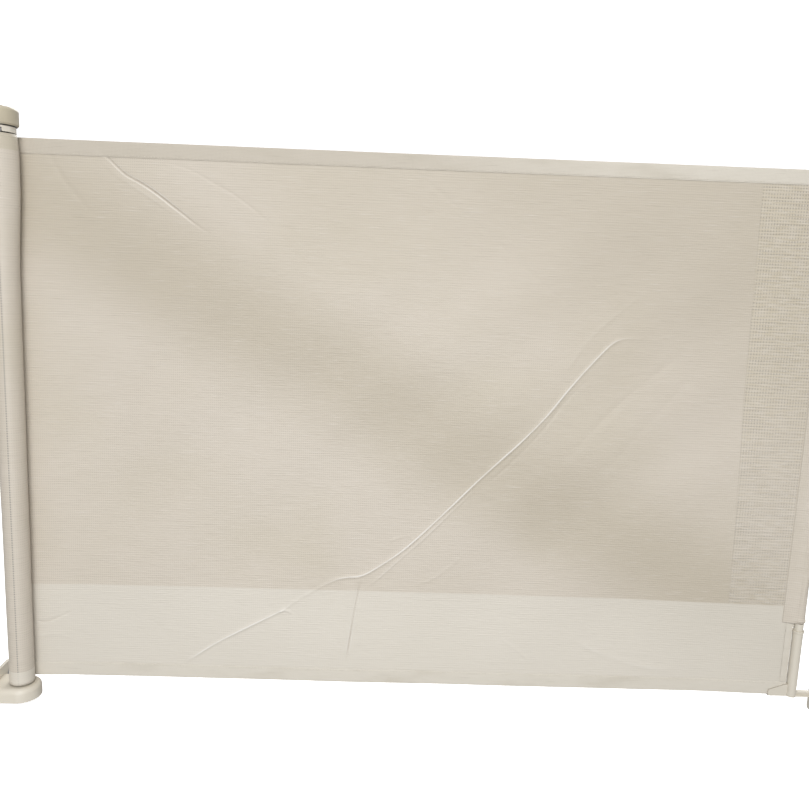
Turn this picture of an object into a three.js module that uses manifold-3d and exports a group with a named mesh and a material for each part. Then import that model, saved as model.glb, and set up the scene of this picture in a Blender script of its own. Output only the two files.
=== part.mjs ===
// Retractable safety gate: a spring roller on two wall brackets winds up a mesh screen,
// and the screen's pull bar drops onto two catches on the opposite wall.
// Millimetres. +X runs from the roller's wall to the catches' wall, -Y faces the user, +Z is up.
// Z = 0 is the screen's bottom edge, and X = 0, Y = 0 is the roller wall behind the roller's axis.
import * as THREE from 'three';
import { mergeVertices } from 'three/addons/utils/BufferGeometryUtils.js';
import Module from 'manifold-3d';

// ---- Driving dimensions ----
const screenHeight = 820;       // mesh, bottom edge to top edge
const span = 1224;              // roller axis to pull-bar axis with the gate drawn across
const rollerToWall = 42;        // roller axis to its wall
const barToWall = 42;           // pull-bar axis to the catches' wall

// ---- Clearances ----
const gap = 0.3;                // between pieces that touch
const runGap = 0.15;            // round a shaft that turns
const looseGap = 1.5;           // between the roller's upper end and its bracket
const shelfGap = 2;             // between the roller's lower end and its bracket
const beyond = 1;               // how far a cutting shape runs past what it cuts

// ---- Screen and roll ----
const sheet = 1;                // mesh thickness
const hemHeight = 22;
const hemWall = 0.5;
const rollRadiusTop = 21;       // the mesh winds a little looser towards the top
const rollRadiusBottom = 18.5;
const seamToBar = 28;           // pocket seam to pull-bar axis
const sleeveToScreen = 4;       // from a bar sleeve to the screen's edge beside it

// ---- Roller ----
const tubeRadius = 14;
const tubeWall = 1.4;
const splineRadius = 1.35;      // rod that locks the mesh in the tube's groove
const splineInset = 4;
const grooveWall = 1.1;
const slotDepth = 1;            // from the tube's skin to the groove
const slotWidth = 1.4;
const plugLength = 40;
const flangeThickness = 1.2;
const lowerJournalRadius = 7;
const lowerJournalLength = 12.5;
const upperJournalRadius = 5;
const journalRoom = 2;          // below the lower journal
const arborRadius = 3;
const arborSquare = 5;
const arborFloor = 2;           // bracket left under the arbor's foot
const arborHeight = 312;
const springTurns = 10;
const springRadius = 6.4;       // middle of the wire
const springWire = 1.8;
const springRoom = 4;           // from the spring to the plug, and from its collar to the bearing
const collarLength = 8;
const bearingLength = 6;
const bushWall = 1.75;

// ---- Wall brackets of the roller ----
const wallPlate = 5;
const screwLand = 14;           // wall plate beyond the shelf on each side
const wallPlateHeight = 38;
const plateCorner = 5;
const shelfRadius = 28;
const shelfThickness = 13.5;
const shoulder = 8;             // rounding of the shelf's upper edge
const collarHeight = 8;
const collarWall = 2.1;
const collarRoof = 2.6;
const dialPostRadius = 11;
const dialPostHeight = 11;
const ringSection = 0.9;
const ringDepth = 1.2;          // depth of the ring's groove, and post left above it
const pinRoof = 0.6;            // bracket left above the pawl's pin

// ---- Lock ----
const dialOverhang = 3.9;       // dial beyond the bracket's collar
const dialHeight = 24.5;
const dialWall = 2.3;
const dialEdge = 5;             // rounding of the dial's upper edge
const dialFootInset = 1.6;      // chamfer of its lower edge
const dialFootHeight = 2.2;
const dialGap = 1.4;            // dial above the bracket
const hubWall = 2.2;
const ringRoom = 1.6;           // between the dial post and the hub's wider bore
const buttonRadius = 8.5;
const buttonTravel = 2.5;
const buttonProud = 3;
const buttonEdge = 1.5;
const buttonFlange = 1.8;
const buttonFlangePlay = 1;
const teeth = 12;
const ratchetRadius = 13;
const toothDepth = 2.4;
const notchFloor = 0.22;        // notch, as shares of the pitch to each side of its middle
const notchMouth = 0.36;
const ratchetSquare = 10.4;
const camThickness = 2.8;
const camScrewRadius = 1.1;
const camScrewHead = 1.3;
const camScrewDepth = 8;        // thread in the dial's posts
const camPostWall = 1.9;
const pegRadius = 1.7;
const pegStart = -150;          // degrees round the roller axis, lock open
const dialTurn = 50;            // degrees from open to locked
const pawlSwing = 14;           // degrees that the pawl turns meanwhile
const pawlPivotAngle = -58;
const pawlNoseAngle = -95;      // where the nose meets the wheel
const pawlPinRadius = 1.4;
const pawlEyeWall = 1.6;
const pawlPivotRoom = 4.5;      // from the wheel's rim to the pawl's pivot
const pawlRoom = 3;             // between the wheel's rim and the peg's path
const pawlLift = 1;             // pawl above the bracket's lower edge
const cavityRoom = 0.4;

// ---- Pull bar ----
const barRadius = 6.1;
const barWall = 1.1;
const sleeveWall = 1.6;
const sleeveLength = 111;
const lipDepth = 0.9;
const lipHeight = 3.5;
const neckWall = 0.9;
const neckLength = 12;
const sleeveEnd = 1.5;          // sleeve beyond the screen's edge
const sleeveOverlap = 72;       // bar tube inside a sleeve
const pocketWall = 2;
const finReach = 38;
const finWidth = 6;
const finRoot = 18;
const finTip = 8.5;
const gripTop = 36;             // grip above the screen's top edge
const gripEdge = 4;
const barLift = 12;             // travel that frees the bar from its catches

// ---- Catches ----
const catchPlateWidth = 28;
const catchPlateHeight = 62;
const armWidth = 6;
const armBottom = -2.5;
const armHeight = 9;
const armGrooveDepth = 1.2;
const armGrooveHeight = 3.2;
const spigotPlay = 1.8;         // round the spigot in the sleeve's bore
const hookArmBottom = 4;        // above the screen's top edge
const hookArmHeight = 10;
const hookArmWidth = 20;
const tongueLength = 8;         // tongue inside the catch's slot
const tongueThickness = 4;
const tongueWidth = 10;
const tongueRise = 4;           // from the catch's arm to the hook over it
const hookGap = 2;              // from the sleeve to the upper catch's arm
const hookBarThickness = 3;
const hookNeck = 8;

// ---- Screws ----
const wallScrewRadius = 2.2;
const wallScrewHead = 4.4;
const wallScrewSink = 2.6;
const wallScrewInset = 8;       // screw centre to the plate's edge
const sleeveScrewRadius = 1.3;
const sleeveScrewHead = 2.8;
const sleeveScrewHeight = 1.4;

// ---- Places that follow from the sizes above ----
const hemOuter = sheet / 2 + gap + hemWall;
const sheetPlane = rollRadiusTop + gap + hemOuter;       // screen behind the roller axis
const shelfTop = -shelfGap;
const shelfBottom = shelfTop - shoulder - shelfThickness;
const collarBottom = screenHeight + looseGap;
const collarTop = collarBottom + collarHeight;
const cavityTop = collarTop - collarRoof;
const dialPostTop = collarTop + dialPostHeight;
const dialBottom = collarTop + dialGap;
const dialTop = dialBottom + dialHeight;
const tubeInner = tubeRadius - tubeWall;
const plugRadius = tubeInner - gap;
const grooveRadius = splineRadius + gap;
const grooveOrbit = tubeRadius - slotDepth - grooveRadius;
const bossRadius = grooveRadius + grooveWall;
const toothRoot = ratchetRadius - toothDepth;
const toothPitch = 360 / teeth;
const pegOrbit = ratchetRadius + gap + pegRadius + pawlRoom;
const pawlEye = pawlPinRadius + runGap + pawlEyeWall;
const [pivotX, pivotY] = polar(ratchetRadius + pawlPivotRoom, pawlPivotAngle);
const windowWidth = 2 * (pivotX + pawlEye + 2 * gap);
const cavityRadius = pegOrbit + pegRadius + gap + cavityRoom;
const collarRadius = cavityRadius + collarWall;
const dialRadius = collarRadius + dialOverhang;
const wallPlateWidth = 2 * (Math.max(shelfRadius, collarRadius) + screwLand);
const sleeveBore = barRadius + gap;
const sleeveRadius = sleeveBore + sleeveWall;
const edgeToBar = sleeveRadius + sleeveToScreen;
const tongueOffset = sleeveRadius + hookGap + hookBarThickness;    // bar axis to the tongue's near face
const tubeBottom = gap;
const tubeTop = screenHeight - gap;
const round = 32;               // sides of a turned piece
const fine = 14;                // sides of a small one

const wasm = await Module();
wasm.setup();

// ---- Shape helpers ----

// Merged vertices only, with every face turned outwards.
function closed(geometry) {
  const bare = new THREE.BufferGeometry();
  bare.setAttribute('position', geometry.getAttribute('position').clone());
  if (geometry.index) bare.setIndex(geometry.index.clone());
  const merged = mergeVertices(bare, 1e-4);
  const p = merged.getAttribute('position');
  const corner = [new THREE.Vector3(), new THREE.Vector3(), new THREE.Vector3()];
  const kept = [];
  let volume = 0;
  for (let i = 0; i < merged.index.count; i += 3) {
    const ids = [0, 1, 2].map((k) => merged.index.getX(i + k));
    if (ids[0] === ids[1] || ids[1] === ids[2] || ids[0] === ids[2]) continue;
    ids.forEach((id, k) => corner[k].fromBufferAttribute(p, id));
    volume += corner[0].dot(corner[1].clone().cross(corner[2]));
    kept.push(...ids);
  }
  if (volume < 0) kept.reverse();
  merged.setIndex(kept);
  return merged;
}

function solid(geometry) {
  const shape = closed(geometry);
  return new wasm.Manifold(new wasm.Mesh({
    numProp: 3,
    vertProperties: new Float32Array(shape.getAttribute('position').array),
    triVerts: new Uint32Array(shape.index.array),
  }));
}

function geometryOf(body) {
  const mesh = body.getMesh();
  const geometry = new THREE.BufferGeometry();
  geometry.setAttribute('position', new THREE.BufferAttribute(new Float32Array(mesh.vertProperties), 3));
  geometry.setIndex(new THREE.BufferAttribute(new Uint32Array(mesh.triVerts), 1));
  geometry.computeVertexNormals();
  return geometry;
}

// One solid from the pieces in add, less the pieces in cut.
function carve(add, cut = []) {
  let body = solid(add[0]);
  for (const piece of add.slice(1)) body = body.add(solid(piece));
  for (const piece of cut) body = body.subtract(solid(piece));
  return geometryOf(body);
}

function rod(radius, bottom, top, segments = round) {
  const geometry = new THREE.CylinderGeometry(radius, radius, top - bottom, segments);
  geometry.rotateX(Math.PI / 2);
  return geometry.translate(0, 0, (bottom + top) / 2);
}

function block(x, y, z) {
  const geometry = new THREE.BoxGeometry(x[1] - x[0], y[1] - y[0], z[1] - z[0]);
  return geometry.translate((x[0] + x[1]) / 2, (y[0] + y[1]) / 2, (z[0] + z[1]) / 2);
}

// A profile of [radius, height] points turned round the Z axis.
function turned(profile, segments = round) {
  const points = profile.map(([r, z]) => new THREE.Vector2(r, z));
  if (profile[0][0] > 0) points.push(points[0].clone());
  const geometry = new THREE.LatheGeometry(points, segments);
  return closed(geometry.rotateX(Math.PI / 2));
}

function sleeveOf(inner, outer, bottom, top, segments = round) {
  return turned([[inner, bottom], [outer, bottom], [outer, top], [inner, top]], segments);
}

// Quarter round from one edge of a profile to the next, as [radius, height] points.
function cornerArc(centreR, centreZ, radius, from, to, steps = 4) {
  return Array.from({ length: steps + 1 }, (_, i) => {
    const a = THREE.MathUtils.degToRad(from + ((to - from) * i) / steps);
    return [centreR + radius * Math.cos(a), centreZ + radius * Math.sin(a)];
  });
}

function outline(points) {
  return new THREE.Shape(points.map(([x, y]) => new THREE.Vector2(x, y)));
}

function upright(shape, bottom, top, segments = 12) {
  const settings = { depth: top - bottom, bevelEnabled: false, curveSegments: segments };
  return new THREE.ExtrudeGeometry(shape, settings).translate(0, 0, bottom);
}

const xAxis = new THREE.Vector3(1, 0, 0);
const yAxis = new THREE.Vector3(0, 1, 0);
const zAxis = new THREE.Vector3(0, 0, 1);

// An outline drawn in Y and Z, run along X.
function alongX(shape, from, to, segments = 6) {
  const geometry = upright(shape, 0, to - from, segments);
  geometry.applyMatrix4(new THREE.Matrix4().makeBasis(yAxis, zAxis, xAxis));
  return geometry.translate(from, 0, 0);
}

// An outline drawn in X and Z, run along Y.
function alongY(shape, from, to, segments = 6) {
  const geometry = upright(shape, -to, -from, segments);
  return geometry.applyMatrix4(new THREE.Matrix4().makeBasis(xAxis, zAxis, yAxis.clone().negate()));
}

function roundedPlate(left, right, bottom, top, radius) {
  const shape = new THREE.Shape();
  shape.moveTo(left + radius, bottom);
  shape.lineTo(right - radius, bottom);
  shape.absarc(right - radius, bottom + radius, radius, -Math.PI / 2, 0);
  shape.lineTo(right, top - radius);
  shape.absarc(right - radius, top - radius, radius, 0, Math.PI / 2);
  shape.lineTo(left + radius, top);
  shape.absarc(left + radius, top - radius, radius, Math.PI / 2, Math.PI);
  shape.lineTo(left, bottom + radius);
  shape.absarc(left + radius, bottom + radius, radius, Math.PI, 1.5 * Math.PI);
  return shape;
}

function polar(radius, degrees) {
  const a = THREE.MathUtils.degToRad(degrees);
  return [radius * Math.cos(a), radius * Math.sin(a)];
}

// Lays an upright piece down, so that its +Z end points along +X (toward = 1) or -X (toward = -1).
function lieAlongX(geometry, toward) {
  return geometry.rotateY((toward * Math.PI) / 2);
}

// ---- Finishes and assembly ----

const finishes = {
  shell: { color: 0xd9cfbd, roughness: 0.45, metalness: 0 },
  cap: { color: 0xcdc2ae, roughness: 0.42, metalness: 0 },
  mesh: { color: 0xd6cdbd, roughness: 0.85, metalness: 0 },
  hem: { color: 0xdfd7c9, roughness: 0.8, metalness: 0 },
  inner: { color: 0x8f8d88, roughness: 0.5, metalness: 0 },
  steel: { color: 0xb4b4b2, roughness: 0.35, metalness: 1 },
  tube: { color: 0xc8c6c0, roughness: 0.4, metalness: 1 },
};

function piece(group, name, geometry, finish, position = [0, 0, 0]) {
  const mesh = new THREE.Mesh(geometry, new THREE.MeshStandardMaterial(finishes[finish]));
  mesh.name = name;
  mesh.position.set(...position);
  group.add(mesh);
  return mesh;
}

const gate = new THREE.Group();
const rollerAxis = new THREE.Group();
rollerAxis.position.set(rollerToWall, 0, 0);
const barAxis = new THREE.Group();
barAxis.position.set(rollerToWall + span, sheetPlane, 0);
gate.add(rollerAxis, barAxis);

// ---- Wall screws ----

// Countersunk screw that ends at the wall's face: the head is at the top, the wall at Z = 0.
function wallScrew() {
  const top = wallPlate - gap;
  return turned([
    [0, gap], [wallScrewRadius, gap], [wallScrewRadius, top - wallScrewSink],
    [wallScrewHead, top - gap], [wallScrewHead, top], [0, top],
  ], fine);
}

function screwHole() {
  return turned([
    [0, -beyond], [wallScrewRadius + gap, -beyond],
    [wallScrewRadius + gap, wallPlate - wallScrewSink - gap],
    [wallScrewHead + gap, wallPlate - gap - gap],
    [wallScrewHead + gap, wallPlate + beyond], [0, wallPlate + beyond],
  ], fine);
}

// ---- Roller brackets ----

const wallX = -rollerToWall;      // the roller's wall, seen from the roller axis
const plateScrewY = wallPlateWidth / 2 - wallScrewInset;
const upperPlateMiddle = collarBottom + collarHeight / 2;
const lowerPlateMiddle = shelfBottom + wallPlateHeight / 2;
const socketBottom = shelfTop - lowerJournalLength - journalRoom;
const ringTop = dialPostTop - ringDepth;

// An arm from the wall with a half-round end on the roller axis.
function armOutline(radius, back) {
  const shape = new THREE.Shape();
  shape.moveTo(back, -radius);
  shape.lineTo(0, -radius);
  shape.absarc(0, 0, radius, -Math.PI / 2, Math.PI / 2);
  shape.lineTo(back, radius);
  return shape;
}

function bracketPlate(middle) {
  const shape = roundedPlate(
    -wallPlateWidth / 2, wallPlateWidth / 2,
    middle - wallPlateHeight / 2, middle + wallPlateHeight / 2, plateCorner,
  );
  return alongX(shape, wallX, wallX + wallPlate);
}

function bracketScrewHoles(middle) {
  return [-plateScrewY, plateScrewY].map((y) => lieAlongX(screwHole(), 1).translate(wallX, y, middle));
}

function lowerRollerBracket() {
  const back = wallX - 2 * shoulder;
  const shelf = new THREE.ExtrudeGeometry(armOutline(shelfRadius, back), {
    depth: shelfThickness,
    bevelThickness: shoulder,
    bevelSize: shoulder,
    bevelOffset: -shoulder,
    bevelSegments: 3,
    curveSegments: 16,
  }).translate(0, 0, shelfBottom);
  const socket = lowerJournalRadius + runGap + bushWall + gap;
  const square = arborSquare / 2 + gap;
  const behindWall = [back - beyond, wallX];
  const acrossShelf = [-shelfRadius - beyond, shelfRadius + beyond];
  return carve([shelf, bracketPlate(lowerPlateMiddle)], [
    block(behindWall, acrossShelf, [shelfBottom - shoulder - beyond, shelfTop + beyond]),
    block([back, shelfRadius + beyond], acrossShelf, [shelfBottom - shoulder - beyond, shelfBottom]),
    rod(socket, socketBottom, shelfTop + beyond),
    block([-square, square], [-square, square], [shelfBottom + arborFloor, socketBottom + beyond]),
    ...bracketScrewHoles(lowerPlateMiddle),
  ]);
}

// Slot round the roller axis in which the dial's peg travels.
function pegSlot() {
  const inner = pegOrbit - pegRadius - gap;
  const outer = pegOrbit + pegRadius + gap;
  const from = THREE.MathUtils.degToRad(pegStart);
  const to = THREE.MathUtils.degToRad(pegStart + dialTurn);
  const shape = new THREE.Shape();
  const half = pegRadius + gap;
  shape.absarc(0, 0, outer, from, to);
  shape.absarc(...polar(pegOrbit, pegStart + dialTurn), half, to, to + Math.PI);
  shape.absarc(0, 0, inner, to, from, true);
  shape.absarc(...polar(pegOrbit, pegStart), half, from + Math.PI, from + 2 * Math.PI);
  return upright(shape, cavityTop - beyond, collarTop + beyond, 10);
}

function upperRollerBracket() {
  const bore = upperJournalRadius + runGap + bushWall + gap;
  const ringFloor = ringTop - ringSection - gap;
  const halfWindow = windowWidth / 2;
  return carve([
    upright(armOutline(collarRadius, wallX), collarBottom, collarTop, 16),
    bracketPlate(upperPlateMiddle),
    rod(dialPostRadius, collarTop - beyond, dialPostTop),
  ], [
    rod(cavityRadius, collarBottom - beyond, cavityTop),
    rod(bore, cavityTop - beyond, dialPostTop + beyond),
    sleeveOf(dialPostRadius - ringDepth, dialPostRadius + beyond, ringFloor, ringTop),
    block([-halfWindow, halfWindow], [-collarRadius - beyond, -cavityRadius / 2],
      [collarBottom - beyond, cavityTop]),
    rod(pawlPinRadius + runGap, cavityTop - beyond, collarTop - pinRoof, fine).translate(pivotX, pivotY, 0),
    pegSlot(),
    ...bracketScrewHoles(upperPlateMiddle),
  ]);
}

piece(rollerAxis, 'lower_roller_bracket', lowerRollerBracket(), 'shell');
piece(rollerAxis, 'upper_roller_bracket', upperRollerBracket(), 'shell');
for (const [level, middle] of [['lower', lowerPlateMiddle], ['upper', upperPlateMiddle]]) {
  for (const [side, y] of [['front', -plateScrewY], ['back', plateScrewY]]) {
    const name = `${level}_bracket_screw_${side}`;
    piece(rollerAxis, name, lieAlongX(wallScrew(), 1), 'steel', [wallX, y, middle]);
  }
}

function bush(journal, bottom, top) {
  const inner = journal + runGap;
  return sleeveOf(inner, inner + bushWall, bottom, top);
}

const lowerBushBottom = socketBottom + gap;
piece(rollerAxis, 'lower_bush', bush(lowerJournalRadius, lowerBushBottom, shelfTop - gap), 'inner');
piece(rollerAxis, 'upper_bush', bush(upperJournalRadius, cavityTop + gap, dialPostTop - gap), 'inner');

// ---- Spring motor inside the roller ----

const arborFoot = shelfBottom + arborFloor + gap;
const arborShoulder = lowerBushBottom + bushWall - gap;
const springBottom = plugLength + springRoom;
const collarStart = arborHeight - bearingLength - collarLength - springRoom;

function springArbor() {
  const half = arborSquare / 2;
  return carve([
    block([-half, half], [-half, half], [arborFoot, arborShoulder]),
    rod(arborRadius, arborShoulder - beyond, arborHeight, fine),
  ]);
}

// Long torsion spring, drawn open-wound.
function torsionSpring() {
  class Coil extends THREE.Curve {
    getPoint(t, target = new THREE.Vector3()) {
      const a = t * springTurns * 2 * Math.PI;
      const rise = springBottom + t * (collarStart - springWire - springBottom - gap);
      return target.set(springRadius * Math.cos(a), springRadius * Math.sin(a), rise);
    }
  }
  const sides = 5;
  const section = outline(Array.from({ length: sides }, (_, i) => polar(springWire / 2, (360 / sides) * i)));
  const settings = { steps: springTurns * 10, extrudePath: new Coil(), bevelEnabled: false };
  return closed(new THREE.ExtrudeGeometry(section, settings));
}

piece(rollerAxis, 'spring_arbor', springArbor(), 'steel');
piece(rollerAxis, 'torsion_spring', torsionSpring(), 'steel');
piece(rollerAxis, 'spring_collar',
  sleeveOf(arborRadius + gap, springRadius + springWire / 2, collarStart, collarStart + collarLength, fine),
  'inner');

// ---- Roller ----

// Inward rib of the tube's mesh groove, with room round it for the pieces inside the tube.
function grooveRib(extra, bottom, top) {
  return rod(bossRadius + extra, bottom, top, fine).translate(grooveOrbit, 0, 0);
}

function rollerTube() {
  const ribLimit = tubeRadius - tubeWall / 2;
  const rib = solid(grooveRib(0, tubeBottom, tubeTop)).intersect(solid(rod(ribLimit, tubeBottom, tubeTop)));
  const wall = solid(sleeveOf(tubeInner, tubeRadius, tubeBottom, tubeTop));
  const channel = rod(grooveRadius, tubeBottom - beyond, tubeTop + beyond, fine);
  const groove = solid(channel.translate(grooveOrbit, 0, 0));
  const slot = solid(block([grooveOrbit, tubeRadius + beyond], [-slotWidth / 2, slotWidth / 2],
    [tubeBottom - beyond, tubeTop + beyond]));
  return geometryOf(wall.add(rib).subtract(groove).subtract(slot));
}

function lowerEndPlug() {
  const bodyTop = tubeBottom + plugLength;
  const flangeTop = tubeBottom - gap;
  const body = turned([
    [arborRadius + runGap, shelfTop - lowerJournalLength],
    [lowerJournalRadius, shelfTop - lowerJournalLength],
    [lowerJournalRadius, flangeTop - flangeThickness],
    [tubeRadius - gap, flangeTop - flangeThickness],
    [tubeRadius - gap, flangeTop],
    [plugRadius, flangeTop],
    [plugRadius, bodyTop],
    [arborRadius + runGap, bodyTop],
  ]);
  return carve([body], [grooveRib(gap, flangeTop, bodyTop + beyond)]);
}

function upperEndPlug() {
  const bodyBottom = tubeTop - plugLength;
  const flangeBottom = tubeTop + gap;
  const squareTop = cavityTop - gap;
  const journalTop = dialPostTop - ringDepth;
  const half = ratchetSquare / 2 - runGap;
  const body = turned([
    [0, bodyBottom],
    [plugRadius, bodyBottom],
    [plugRadius, flangeBottom],
    [tubeRadius - gap, flangeBottom],
    [tubeRadius - gap, flangeBottom + flangeThickness],
    [upperJournalRadius, flangeBottom + flangeThickness],
    [upperJournalRadius, journalTop],
    [0, journalTop],
  ]);
  const drive = block([-half, half], [-half, half], [flangeBottom + flangeThickness / 2, squareTop]);
  return carve([body, drive], [grooveRib(gap, bodyBottom - beyond, flangeBottom)]);
}

// Wheel of symmetrical notches, one of them facing the pawl.
function ratchetWheel() {
  const floor = toothPitch * notchFloor;
  const mouth = toothPitch * notchMouth;
  const shape = outline(Array.from({ length: teeth }, (_, i) => {
    const middle = pawlNoseAngle + i * toothPitch;
    return [
      polar(toothRoot, middle - floor), polar(toothRoot, middle + floor),
      polar(ratchetRadius, middle + mouth), polar(ratchetRadius, middle + toothPitch - mouth),
    ];
  }).flat());
  const half = ratchetSquare / 2 + runGap;
  shape.holes.push(new THREE.Path([
    new THREE.Vector2(-half, -half), new THREE.Vector2(-half, half),
    new THREE.Vector2(half, half), new THREE.Vector2(half, -half),
  ]));
  const bottom = tubeTop + 2 * gap + flangeThickness;
  return upright(shape, bottom, cavityTop - 2 * gap);
}

function meshRoll() {
  return turned([
    [tubeRadius + gap, 0], [rollRadiusBottom, 0],
    [rollRadiusTop, screenHeight], [tubeRadius + gap, screenHeight],
  ]);
}

function arborBearing() {
  const bottom = arborHeight - bearingLength - gap;
  const ring = sleeveOf(arborRadius + runGap, plugRadius, bottom, bottom + bearingLength);
  return carve([ring], [grooveRib(gap, bottom - beyond, bottom + bearingLength + beyond)]);
}

piece(rollerAxis, 'roller_tube', rollerTube(), 'tube');
piece(rollerAxis, 'lower_end_plug', lowerEndPlug(), 'inner');
piece(rollerAxis, 'upper_end_plug', upperEndPlug(), 'inner');
piece(rollerAxis, 'arbor_bearing', arborBearing(), 'inner');
piece(rollerAxis, 'mesh_spline',
  rod(splineRadius, tubeBottom + splineInset, tubeTop - splineInset, fine), 'shell', [grooveOrbit, 0, 0]);
piece(rollerAxis, 'ratchet_wheel', ratchetWheel(), 'steel');
piece(rollerAxis, 'mesh_roll', meshRoll(), 'mesh');

// ---- Lock: pawl, dial, cam and button ----

const pawlBottom = collarBottom + pawlLift;
const pawlTop = cavityTop - gap;

// Pawl with a nose, an arm and an eye. It is drawn about its pivot with the nose in the notch
// that it faces, and then turned back, clear of the wheel.
function lockPawl() {
  const floor = toothRoot * Math.sin(THREE.MathUtils.degToRad(toothPitch * notchFloor));
  const mouth = ratchetRadius * Math.sin(THREE.MathUtils.degToRad(toothPitch * notchMouth));
  const corner = (radius, side) => {
    const half = floor - 1.5 * gap + ((mouth - floor) * (radius - toothRoot)) / toothDepth;
    const turn = THREE.MathUtils.radToDeg(Math.asin(half / radius));
    return polar(radius, pawlNoseAngle + side * turn);
  };
  const tip = toothRoot + gap;
  const base = ratchetRadius + 1;
  const points = [
    corner(base, 1), corner(tip, 1), corner(tip, -1), corner(base, -1),
    polar(pegOrbit - pegRadius - gap, pegStart + dialTurn),
  ];
  const [noseX, noseY] = polar(tip, pawlNoseAngle);
  const away = Math.atan2(pivotY - noseY, pivotX - noseX);
  const wrap = 0.55 * Math.PI;
  const shape = new THREE.Shape();
  shape.absarc(0, 0, pawlEye, away - wrap, away + wrap);
  for (const [x, y] of points) shape.lineTo(x - pivotX, y - pivotY);
  const hole = new THREE.Path();
  hole.absarc(0, 0, pawlPinRadius + runGap, 0, 2 * Math.PI, true);
  shape.holes.push(hole);
  return upright(shape, pawlBottom, pawlTop, 8).rotateZ(THREE.MathUtils.degToRad(pawlSwing));
}

// Leaf that bears on the pawl's eye, rooted at the collar's wall.
function pawlSpring() {
  const thick = 0.4;
  const rise = 0.4;
  const reach = cavityRadius - gap - thick;
  const points = [
    polar(reach, pawlPivotAngle + 34),
    polar(reach - 1.6, pawlPivotAngle + 20),
    [pivotX + pawlEye + gap, pivotY + 0.6],
  ];
  const back = points.map(([x, y]) => [x + thick, y]).reverse();
  return upright(outline([...points, ...back]), pawlBottom + rise, pawlTop - rise);
}

const camBottom = dialBottom + runGap + gap;
const camTop = camBottom + camThickness;
const hubInner = dialPostRadius + gap;
const hubStep = ringTop - ringSection - 2 * gap;
const hubBore = hubInner + ringRoom;
const hubOuter = hubBore + hubWall;
const skirtInner = dialRadius - dialWall;
const camScrewOrbit = (hubOuter + skirtInner) / 2;
const camScrewAngles = [20, 200];
const dialRoof = dialTop - dialWall;

function lockDial() {
  const shell = turned([
    [hubInner, dialBottom],
    [hubOuter, dialBottom],
    [hubOuter, dialRoof],
    [skirtInner, dialRoof],
    [skirtInner, dialBottom],
    [dialRadius - dialFootInset, dialBottom],
    [dialRadius, dialBottom + dialFootHeight],
    ...cornerArc(dialRadius - dialEdge, dialTop - dialEdge, dialEdge, 0, 90),
    [buttonRadius + gap, dialTop],
    [buttonRadius + gap, dialRoof],
    [hubBore, dialRoof],
    [hubBore, hubStep],
    [hubInner, hubStep],
  ]);
  const posts = camScrewAngles.map((angle) => {
    const [x, y] = polar(camScrewOrbit, angle);
    return rod(camScrewRadius + camPostWall, camTop + gap, dialRoof + beyond, fine).translate(x, y, 0);
  });
  const holes = camScrewAngles.map((angle) => {
    const [x, y] = polar(camScrewOrbit, angle);
    return rod(camScrewRadius + gap, camTop, camTop + camScrewDepth + beyond, fine).translate(x, y, 0);
  });
  return carve([shell, ...posts], holes);
}

// Ring under the dial whose peg reaches down to the pawl.
function dialCam() {
  const ring = sleeveOf(hubOuter + gap, skirtInner - gap, camBottom, camTop);
  const [x, y] = polar(pegOrbit, pegStart);
  const peg = rod(pegRadius, pawlBottom, camBottom + beyond, fine).translate(x, y, 0);
  const cuts = camScrewAngles.flatMap((angle) => {
    const [sx, sy] = polar(camScrewOrbit, angle);
    return [
      rod(camScrewRadius + gap, camBottom - beyond, camTop + beyond, fine).translate(sx, sy, 0),
      rod(camScrewRadius * 2 + gap, camBottom - beyond, camBottom + camScrewHead + gap, fine)
        .translate(sx, sy, 0),
    ];
  });
  return carve([ring, peg], cuts);
}

function camScrew() {
  return turned([
    [0, gap], [camScrewRadius * 2, gap], [camScrewRadius * 2, camScrewHead],
    [camScrewRadius, camScrewHead], [camScrewRadius, camThickness + camScrewDepth],
    [0, camThickness + camScrewDepth],
  ], fine);
}

function retainingRing() {
  const inner = dialPostRadius - ringDepth + gap;
  const outer = hubBore - gap;
  const open = THREE.MathUtils.degToRad(30);
  const shape = new THREE.Shape();
  shape.absarc(0, 0, outer, open, 2 * Math.PI - open);
  shape.absarc(0, 0, inner, 2 * Math.PI - open, open, true);
  const bottom = ringTop - ringSection - gap / 2;
  return upright(shape, bottom, bottom + ringSection, 16);
}

const flangeTop = dialRoof - gap;
const flangeBottom = flangeTop - buttonFlange;

function releaseButton() {
  const flange = hubBore - buttonFlangePlay;
  return turned([
    [0, flangeBottom], [flange, flangeBottom], [flange, flangeTop], [buttonRadius, flangeTop],
    ...cornerArc(buttonRadius - buttonEdge, dialTop + buttonProud - buttonEdge, buttonEdge, 0, 90, 3),
    [0, dialTop + buttonProud],
  ]);
}

function buttonSpring() {
  const wire = 0.8;
  const turns = 4;
  const radius = buttonRadius;
  const bottom = dialPostTop + gap + wire / 2;
  const top = flangeBottom - gap - wire / 2;
  class Coil extends THREE.Curve {
    getPoint(t, target = new THREE.Vector3()) {
      const a = t * turns * 2 * Math.PI;
      return target.set(radius * Math.cos(a), radius * Math.sin(a), bottom + t * (top - bottom));
    }
  }
  const section = outline([0, 90, 180, 270].map((angle) => polar(wire / 2, angle)));
  const settings = { steps: turns * 10, extrudePath: new Coil(), bevelEnabled: false };
  return closed(new THREE.ExtrudeGeometry(section, settings));
}

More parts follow.
